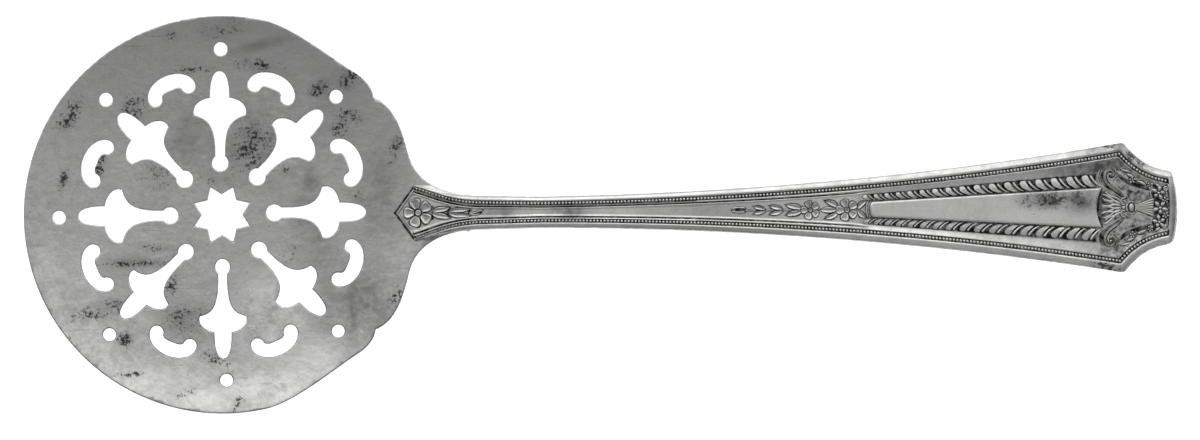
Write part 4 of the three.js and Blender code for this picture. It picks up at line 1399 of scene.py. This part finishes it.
def solder_seam(material):
    """The solder that runs out along both sides of the drop and softens its step down to the neck."""
    outline = head_outline()
    run = [p for p in side_run() if p.x < SEAM_END]
    rows, columns = len(run), len(SEAM_SECTION)
    reaches = [seam_reach(run, i, outline) for i in range(rows)]

    def lay(i, j, side):
        out, reach = reaches[i]
        across, rise = SEAM_SECTION[j]
        place = run[i] + out * (across * (reach + SEAM_LAP) - SEAM_LAP)
        edge = lap_height(place.x) + handle_thickness(place.x) - 0.1
        top = min(edge, 0.03 + 0.29 * reach) * ease(i, 1, 24)
        sunk = i in (0, rows - 1) or j in (0, columns - 1)
        return (place.x, place.y * side, -SEAM_FOOT if sunk else rise * top), 0

    piece = open_sheet("solder_seam")
    for side in (1, -1):
        draw_grid(piece, rows, columns, functools.partial(lay, side=side))
    return finish_piece(close_sheet(piece), form_seam, "solder_film", material, 60)


def solder_film(material):
    """The film of solder in the lap between tongue and stem."""
    half = curve([(38, 0), (38, 2.3), (42, 2.5), (NECK_END, 2.4)], 16)
    half += curve([(NECK_END, 2.4), (TONGUE_END - 2, 1.1)], 12)[1:]
    half += curve([(TONGUE_END - 2, 1.1), (TONGUE_END - 0.5, 0.9), (TONGUE_END - 0.4, 0)], 8)[1:]
    piece = open_sheet("solder_lap_film")
    ring_solid(piece, [at_height(mirrored(half), z) for z in (0, 1)], ladder=True)
    close_sheet(piece)

    def form_film(x, y, z):
        return row_point(x, y, seat(x) + mix(0.01, lap_height(x) - 0.01, z))

    return finish_piece(piece, form_film, "solder_film", material, 40)


# Materials


class Nodes:
    """Short hand for adding and joining nodes in one tree."""

    def __init__(self, tree):
        self.tree = tree

    def add(self, kind, **settings):
        node = self.tree.nodes.new(kind)
        for key, value in settings.items():
            setattr(node, key, value)
        return node

    def join(self, source, target):
        self.tree.links.new(source, target)

    def feed(self, socket, value):
        """Joins another node's output to a socket, or sets the socket to a plain value."""
        if isinstance(value, bpy.types.NodeSocket):
            self.join(value, socket)
        else:
            socket.default_value = value

    def math(self, operation, a, b, clamp=False):
        node = self.add("ShaderNodeMath", operation=operation, use_clamp=clamp)
        for socket, value in zip(node.inputs, (a, b)):
            self.feed(socket, value)
        return node.outputs[0]

    def span(self, value, low, high, start=0.0, end=1.0):
        node = self.add("ShaderNodeMapRange", interpolation_type="SMOOTHSTEP")
        self.join(value, node.inputs["Value"])
        for key, number in (("From Min", low), ("From Max", high), ("To Min", start), ("To Max", end)):
            node.inputs[key].default_value = number
        return node.outputs["Result"]

    def blend(self, share, a, b):
        node = self.add("ShaderNodeMix", data_type="RGBA")
        sockets = [s for s in node.inputs if s.enabled]
        for socket, value in zip(sockets, (share, a, b)):
            self.feed(socket, value)
        return next(s for s in node.outputs if s.enabled)

    def noise(self, position, scale, detail=2.0, roughness=0.5):
        node = self.add("ShaderNodeTexNoise")
        self.join(position, node.inputs["Vector"])
        node.inputs["Scale"].default_value = scale
        node.inputs["Detail"].default_value = detail
        node.inputs["Roughness"].default_value = roughness
        return node.outputs[0]

    def placed(self, position, location, degrees, scale, kind="POINT"):
        """A position moved, turned about the upright axis and scaled."""
        node = self.add("ShaderNodeMapping", vector_type=kind)
        self.join(position, node.inputs["Vector"])
        node.inputs["Location"].default_value = location
        node.inputs["Rotation"].default_value = (0, 0, math.radians(degrees))
        node.inputs["Scale"].default_value = scale
        return node.outputs[0]

    def bump(self, height, strength, distance, under=None):
        node = self.add("ShaderNodeBump")
        node.inputs["Strength"].default_value = strength
        node.inputs["Distance"].default_value = distance
        self.join(height, node.inputs["Height"])
        if under is not None:
            self.join(under, node.inputs["Normal"])
        return node.outputs[0]

    def even_grey(self, level):
        node = self.add("ShaderNodeCombineColor")
        for socket in node.inputs[:3]:
            self.join(level, socket)
        return node.outputs[0]


def grey(level):
    return (level, level, level * 0.99, 1)


def new_material(name):
    """A new material with its nodes, its shader and the position on the piece."""
    material = bpy.data.materials.new(name)
    material.use_nodes = True
    nodes = Nodes(material.node_tree)
    shader = next(n for n in material.node_tree.nodes if n.type == "BSDF_PRINCIPLED")
    position = nodes.add("ShaderNodeTexCoord").outputs["Object"]
    return material, nodes, shader, position


def new_group(name, outputs):
    group = bpy.data.node_groups.new(name, "ShaderNodeTree")
    group.interface.new_socket("Position", in_out="INPUT", socket_type="NodeSocketVector")
    for output in outputs:
        group.interface.new_socket(output, in_out="OUTPUT", socket_type="NodeSocketFloat")
    nodes = Nodes(group)
    position = nodes.add("NodeGroupInput").outputs["Position"]
    result = nodes.add("NodeGroupOutput")
    return group, nodes, position, result


# Specks of tarnish: place, half length, half width, slant in degrees, strength
STAINS = [
    (22.5, 23.4, 2.2, 1.4, 25, 0.95),
    (17, 21.5, 1.6, 1.6, 0, 0.85),
    (0.2, 32.4, 3.6, 1.5, 10, 0.5),
    (-9, 31, 1.3, 1.1, 20, 0.6),
    (6.6, 25.8, 4, 1.2, -8, 0.7),
    (-4.6, 25.2, 3.4, 0.7, 0, 0.6),
    (-15.2, 18.6, 1.9, 2.4, -40, 0.8),
    (-26.6, 17.4, 1.7, 3.4, -35, 0.75),
    (-21.1, 8.8, 1.3, 2.2, -20, 0.85),
    (-27.6, 6.2, 0.9, 2.2, -20, 0.7),
    (-11, 7, 3, 2.4, 0, 0.5),
    (5, 11.8, 3.2, 4.2, -25, 0.75),
    (0, 6.4, 3.4, 1.2, 0, 0.5),
    (11.2, 7.6, 1, 1, 0, 0.6),
    (20.6, 14.8, 1.8, 1.3, 30, 0.75),
    (21.8, 17, 2.4, 1.4, -20, 0.7),
    (30, 11, 1.1, 2.6, -25, 0.78),
    (23.7, 3, 0.8, 0.9, 0, 0.9),
    (-15.6, -8.4, 6.2, 0.7, 2, 0.72),
    (-12.6, -5.6, 3.2, 0.8, -8, 0.6),
    (-21.6, -16.6, 5.4, 1.3, 16, 0.72),
    (-17.3, -21.6, 1.5, 1.4, 0, 0.8),
    (-16.2, -27.6, 2.2, 0.5, 5, 0.85),
    (-9, -12.3, 1.4, 2.2, 0, 0.72),
    (-6.6, -18.4, 3.8, 2.8, 0, 0.62),
    (-1.2, -25.2, 3, 1.2, -25, 0.66),
    (11.6, -6.9, 1.3, 2, -30, 0.74),
    (30, -14.6, 1.2, 2.2, -20, 0.72),
    (2.4, -32.8, 0.8, 2, -35, 0.7),
    (-7, -31, 2.4, 0.8, 20, 0.6),
    (143, 1.3, 4.6, 1.5, 0, 0.84),
    (148.6, 1.6, 2.6, 1.6, 0, 0.66),
    (153.2, -10.2, 2.8, 0.8, -10, 0.9),
    (159.7, 7.45, 1.2, 0.45, -28, 1),
    (157.6, 9, 1.2, 0.7, -50, 0.9),
    (161.4, 6.4, 1, 0.4, -15, 0.7),
    (154, 10.6, 1.6, 0.5, 10, 0.7),
]

# Places where the silver has gone dull, with painted shade and dark painted reflections, listed in the same
# way
DULL_AND_SHADED_PATCHES = [
    (24, -16.5, 10, 9, 30, 0.95),
    (27, 3, 6, 11, 0, 0.55),
    (16, -1.5, 4.2, 9, 8, 0.85),
    (5, 12, 6, 7, 0, 0.6),
    (-6, 13, 6, 7, 0, 0.6),
    (7, 29.4, 9, 1.3, 13, 0.5),
    (36.4, -4.6, 3.4, 1.6, -28, 0.7),
    (-15.4, -8.2, 7, 1.6, 2, 0.5),
    (-21, -16.4, 6, 2.2, 16, 0.45),
    (-6.6, -18.4, 5, 3.6, 0, 0.5),
    (3, 15, 23, 11.5, -8, 0.55),
    (18, 20, 8, 5, 40, 0.35),
    (60, 0, 4, 1.6, 0, 1.2),
    (143, 1.6, 5.4, 2, 0, 1.5),
    (149, 1.2, 4.4, 2.6, 0, 1.5),
    (84, 0, 14, 1.4, 0, 0.2),
    (48, 0, 4, 1.6, 0, 0.9),
    (165.4, 0, 1.6, 7, 0, 0.95),
    (151, 9.9, 5, 1.2, 9.5, 0.9),
    (155.4, 10.4, 2.4, 1.2, 10, 1.2),
    (158.6, 8.5, 3.2, 1.3, -42, 1.4),
    (152.4, 6.9, 3.2, 0.6, 17, 1.2),
    (154.5, 7.4, 1.3, 0.6, -30, 1.2),
    (155.8, -7.3, 2.6, 1, -35, 0.6),
    (150.6, -7, 3.4, 0.8, -9, 0.4),
    (15.6, 5.4, 2.4, 4, 0, 0.85),
    (16, -4.4, 2.4, 3.6, 0, 0.85),
]

# Places rubbed bright, with painted highlights and painted reflections, listed in the same way
PAINTED_HIGHLIGHTS = [
    (7, -29.4, 9, 2.6, 10, 1.25),
    (10.5, -31.2, 4, 1.6, 24, 1.3),
    (-4, -31.6, 7, 2, -8, 0.9),
    (10.2, 8.6, 3, 2, 25, 0.5),
    (10.6, -7, 2.8, 2, -20, 0.5),
    (-14.4, -3.6, 3, 1.2, 10, 0.5),
    (-20, 0.8, 2.4, 1.4, 0, 0.35),
    (0.5, -26.2, 3.6, 1, -14, 0.8),
    (-13.5, -18, 2.6, 1.2, -25, 0.7),
    (16, -24, 6, 3, 28, 0.8),
    (8.4, -17.5, 8.5, 9, 0, 1.4),
    (-10, -29, 8, 3, -18, 0.5),
    (-24, -10, 4, 5, 20, 0.35),
    (69, 0, 5, 1.2, 0, 1),
    (79, 0, 6, 1.1, 0, 0.5),
    (139, -1.5, 6, 1.2, -3, 0.7),
]


def specks_and_painted_light(name, start, end):
    """Dark specks in clusters, dull patches and painted shade round them, and painted highlights between.
    """
    group, nodes, position, result = new_group(name, ["Mask", "Patch", "Dull_and_shade", "Painted_highlight"])
    flat = nodes.add("ShaderNodeVectorMath", operation="MULTIPLY")
    nodes.join(position, flat.inputs[0])
    flat.inputs[1].default_value = (1, 1, 0)

    def spread(places, edge):
        total = None
        for x, y, length, width, slant, strength in places:
            if not start < x < end:
                continue
            halves = (length * MM, width * MM, 1)
            reach = nodes.placed(flat.outputs[0], row_point(x, y, 0), slant, halves, "TEXTURE")
            away = nodes.add("ShaderNodeVectorMath", operation="LENGTH")
            nodes.join(reach, away.inputs[0])
            near = nodes.span(away.outputs["Value"], edge, 0, 0, strength)
            total = near if total is None else nodes.math("MAXIMUM", total, near)
        return total

    patch = spread(STAINS, 1.8)
    broken = nodes.span(nodes.noise(position, 420, 5, 0.65), 0.35, 0.65, 0.3, 1)
    clusters = nodes.math("MULTIPLY", patch, broken)
    spots = nodes.math("ADD", nodes.math("MULTIPLY", clusters, 0.33), nodes.noise(position, 2100, 4, 0.66))
    spots = nodes.span(spots, 0.63, 0.71)
    nodes.join(nodes.math("MULTIPLY", spots, nodes.span(patch, 0, 0.7, 0.5, 1)), result.inputs["Mask"])
    nodes.join(clusters, result.inputs["Patch"])
    smear = nodes.span(nodes.noise(position, 330, 6, 0.7), 0.3, 0.68, 0.35, 1.25)
    nodes.join(nodes.math("MULTIPLY", spread(DULL_AND_SHADED_PATCHES, 1.3), smear), result.inputs["Dull_and_shade"])
    # painted highlights and reflections, broken up by noise
    rubbed = nodes.span(nodes.noise(position, 380, 6, 0.8), 0.36, 0.54)
    nodes.join(nodes.math("MULTIPLY", spread(PAINTED_HIGHLIGHTS, 1.4), rubbed), result.inputs["Painted_highlight"])
    return group


def fine_scratches():
    """Hairline scratches from use, in a few slanting directions."""
    group, nodes, position, result = new_group("fine_scratches", ["Mask"])
    total = None
    for degrees, shift in ((14, 0.0), (78, 3.1), (-37, 7.7), (121, 12.3)):
        drawn_out = nodes.placed(position, (shift, shift, 0), degrees, (70, 3600, 20))
        streak = nodes.span(nodes.noise(drawn_out, 1, 1), 0.67, 0.75)
        patch = nodes.span(nodes.noise(position, 90 + 11 * shift, 1), 0.48, 0.66)
        layer = nodes.math("MULTIPLY", streak, patch)
        total = layer if total is None else nodes.math("MAXIMUM", total, layer)
    nodes.join(total, result.inputs["Mask"])
    return group


def worn_polish():
    """Slow changes of polish over the metal, and its fine grain."""
    group, nodes, position, result = new_group("worn_polish", ["Cloud", "Grain"])
    slow = nodes.span(nodes.noise(position, 95, 6, 0.7), 0.34, 0.66)
    mottled = nodes.span(nodes.noise(position, 640, 6, 0.76), 0.4, 0.62)
    cloud = nodes.math("ADD", nodes.math("MULTIPLY", slow, 0.5), nodes.math("MULTIPLY", mottled, 0.5))
    nodes.join(cloud, result.inputs["Cloud"])
    nodes.join(nodes.noise(position, 2600, 3, 0.6), result.inputs["Grain"])
    return group


GROUPS = {}


def shelter(nodes, position, reach, deep, hollow, ground):
    """How dark the silver has gone: in its hollows, where it is marked, and on the ground at the end."""
    sheltered = None
    if reach:
        near = nodes.add("ShaderNodeAmbientOcclusion", samples=8)
        near.inputs["Distance"].default_value = reach * MM
        sheltered = nodes.span(near.outputs["AO"], 0.95, 1 - deep)
    if hollow:
        # the hollow marks hold tarnish and also painted shade beside the relief and on the sides turned
        # from the light
        mark = nodes.add("ShaderNodeAttribute", attribute_name="hollow").outputs["Fac"]
        sheltered = mark if sheltered is None else nodes.math("MAXIMUM", mark, sheltered)
    if ground:
        place = nodes.add("ShaderNodeSeparateXYZ")
        nodes.join(position, place.inputs[0])
        start, end = (row_point(PANEL_END + step, 0, 0).x for step in (-2, 1))
        near_end = nodes.span(place.outputs["X"], start, end)
        pebble = nodes.span(nodes.noise(position, 1000, 5, 0.65), 0.34, 0.66, 0.2 * ground, ground)
        dulled = nodes.math("MULTIPLY", near_end, nodes.span(mark, 0.12, 0.28))
        sheltered = nodes.math("MAXIMUM", sheltered, nodes.math("MULTIPLY", dulled, pebble))
    if sheltered is None:
        return None
    uneven = nodes.span(nodes.noise(position, 900, 4, 0.6), 0.3, 0.7, 0.72, 1.18)
    return nodes.math("MULTIPLY", sheltered, uneven, clamp=True)


def fine_relief(nodes, position, height, worn):
    """The feel of the surface: fine scratches and grain over shallow dents."""
    fine = nodes.bump(height, 0.12, 0.04 * MM)
    return nodes.bump(nodes.noise(position, 520, 4, 0.6), 1, worn * MM, fine)


def silver(
    name,
    tone,
    roughness,
    stains_and_light,
    specks=1.0,
    reach=0.0,
    deep=0.6,
    hollow=False,
    ground=0.0,
    worn=0.006,
    cloudy=0.7,
):
    """Old silver: polished where rubbed, tarnished where sheltered, with painted highlights and shade."""
    material, nodes, shader, position = new_material(name)

    def effect(key):
        node = nodes.add("ShaderNodeGroup", node_tree=GROUPS[key])
        nodes.join(position, node.inputs["Position"])
        return node.outputs

    polish = effect("polish")
    colour = nodes.blend(polish["Cloud"], grey(tone), grey(mix(1, 0.62, cloudy) * tone))
    scratched = effect("scratches")["Mask"]
    colour = nodes.blend(nodes.math("MULTIPLY", scratched, 0.55), colour, grey(0.4 * tone))
    stain_and_light = effect(stains_and_light)
    # painted highlight: the colour lifted to 1.2 times the tone
    colour = nodes.blend(stain_and_light["Painted_highlight"], colour, grey(min(1, 1.2 * tone)))
    # dull silver, with painted shade and dark painted reflections
    colour = nodes.blend(nodes.math("MULTIPLY", stain_and_light["Dull_and_shade"], 0.74), colour, grey(0.25 * tone))
    colour = nodes.blend(nodes.math("MULTIPLY", stain_and_light["Patch"], 0.52 * specks), colour, grey(0.3 * tone))
    colour = nodes.blend(nodes.math("MULTIPLY", stain_and_light["Mask"], specks), colour, grey(0.05))
    rough = nodes.span(polish["Cloud"], 0, 1, roughness, roughness + 0.1)
    sheltered = shelter(nodes, position, reach, deep, hollow, ground)
    if sheltered is not None:
        colour = nodes.blend(sheltered, colour, grey(0.02))
        rough = nodes.math("ADD", rough, nodes.math("MULTIPLY", sheltered, 0.25))
    nodes.join(colour, shader.inputs["Base Color"])
    nodes.join(rough, shader.inputs["Roughness"])
    shader.inputs["Metallic"].default_value = 1
    height = nodes.math("SUBTRACT", nodes.math("MULTIPLY", polish["Grain"], 0.35), scratched)
    nodes.join(fine_relief(nodes, position, height, worn), shader.inputs["Normal"])
    return material


# Stage


def table_top():
    bpy.ops.object.select_all(action="DESELECT")
    bpy.ops.mesh.primitive_plane_add(size=6, location=(0, 0, -0.00002))
    floor = bpy.context.object
    floor.name = "table_top"
    material, nodes, shader, position = new_material("white_table")
    paper = nodes.span(nodes.noise(position, 12, 2), 0, 1, 0.86, 0.9)
    nodes.join(nodes.even_grey(paper), shader.inputs["Base Color"])
    shader.inputs["Roughness"].default_value = 0.9
    path = nodes.add("ShaderNodeLightPath")
    seen = nodes.math("MAXIMUM", path.outputs["Is Camera Ray"], path.outputs["Is Glossy Ray"])
    seen = nodes.math("MAXIMUM", seen, path.outputs["Is Transmission Ray"])
    shader.inputs["Emission Color"].default_value = (1, 1, 1, 1)
    nodes.join(nodes.math("MULTIPLY", seen, 0.88), shader.inputs["Emission Strength"])
    floor.data.materials.append(material)


def room_light():
    """A grey room, brighter towards the window side, and one large soft lamp there."""
    world = bpy.data.worlds.new("grey_room")
    bpy.context.scene.world = world
    world.use_nodes = True
    nodes = Nodes(world.node_tree)
    back = next(n for n in world.node_tree.nodes if n.type == "BACKGROUND")
    direction = nodes.add("ShaderNodeTexCoord").outputs["Generated"]
    sides = nodes.add("ShaderNodeSeparateXYZ")
    nodes.join(direction, sides.inputs[0])
    level = nodes.span(sides.outputs["Y"], -0.05, 0.05, 0.12, 0.24)
    # How the light rises or falls between two directions
    for axis, start, end, rise in (
        ("Y", 0.03, 0.31, 0.86),
        ("Y", 0.32, 0.56, -0.27),
        ("Y", 0.8, 0.98, -0.4),
        ("Y", -0.1, -0.3, 0.05),
        ("Y", -0.35, -0.7, 0.07),
        ("X", 0.02, 0.2, 0.17),
        ("X", 0, -0.16, -0.03),
        ("X", -0.18, -0.34, 0.17),
    ):
        level = nodes.math("ADD", level, nodes.span(sides.outputs[axis], start, end, 0, rise))
    level = nodes.math("MULTIPLY", level, nodes.span(sides.outputs["Z"], 0.1, 0.9, 0.42, 1))
    path = nodes.add("ShaderNodeLightPath")
    shown = nodes.blend(path.outputs["Is Camera Ray"], nodes.even_grey(level), (1, 1, 1, 1))
    nodes.join(shown, back.inputs["Color"])
    back.inputs["Strength"].default_value = 1
    bpy.ops.object.light_add(type="AREA", location=(-0.12, 0.55, 0.5))
    lamp = bpy.context.object
    lamp.name = "window_lamp"
    lamp.data.shape = "RECTANGLE"
    lamp.data.size = 0.9
    lamp.data.size_y = 0.35
    lamp.data.energy = 0.65
    aim = Vector((0, 0, 0)) - lamp.location
    lamp.rotation_euler = aim.to_track_quat("-Z", "Y").to_euler()


def camera_above():
    camera = bpy.data.cameras.new("camera_above")
    holder = bpy.data.objects.new("camera_above", camera)
    bpy.context.scene.collection.objects.link(holder)
    height, width = 1.5, 0.20833  # above the table, and across the view
    camera.sensor_width = 36
    camera.lens = 36 * (height - 0.003) / width
    camera.clip_start, camera.clip_end = 0.1, 10
    holder.location = (-0.00012, -0.001465, height)
    holder.rotation_euler = (0, 0, math.radians(-0.45))
    bpy.context.scene.camera = holder


def build():
    GROUPS["head_specks_and_light"] = specks_and_painted_light("head_specks_and_light", -HEAD_RADIUS, NECK_END)
    GROUPS["handle_specks_and_light"] = specks_and_painted_light("handle_specks_and_light", NECK_END, HANDLE_END)
    GROUPS["scratches"] = fine_scratches()
    GROUPS["polish"] = worn_polish()
    on_head, on_handle = "head_specks_and_light", "handle_specks_and_light"
    sheet_silver = silver("sheet_silver", 0.89, 0.3, on_head, 0.95, hollow=True, worn=0.05, cloudy=1)
    struck_silver = silver("struck_silver", 0.97, 0.26, on_handle, 0.85, 0.4, 0.5, hollow=True, ground=0.88)
    cut_silver = silver("cut_silver", 0.97, 0.28, on_handle, 0.3, 0.3, 0.7, hollow=True)
    bead_silver = silver("bead_silver", 0.97, 0.2, on_handle, 0.1, hollow=True)
    solder = silver("solder", 0.84, 0.3, on_head, 0.5)
    pierced_head(sheet_silver)
    handle_body(struck_silver)
    beading(bead_silver)
    panel(struck_silver)
    leaf_bands(cut_silver)
    sprays(cut_silver)
    sheaf(cut_silver)
    solder_seam(solder)
    solder_film(solder)


build()
table_top()
room_light()
camera_above()
scene = bpy.context.scene
scene.view_settings.view_transform = "Standard"
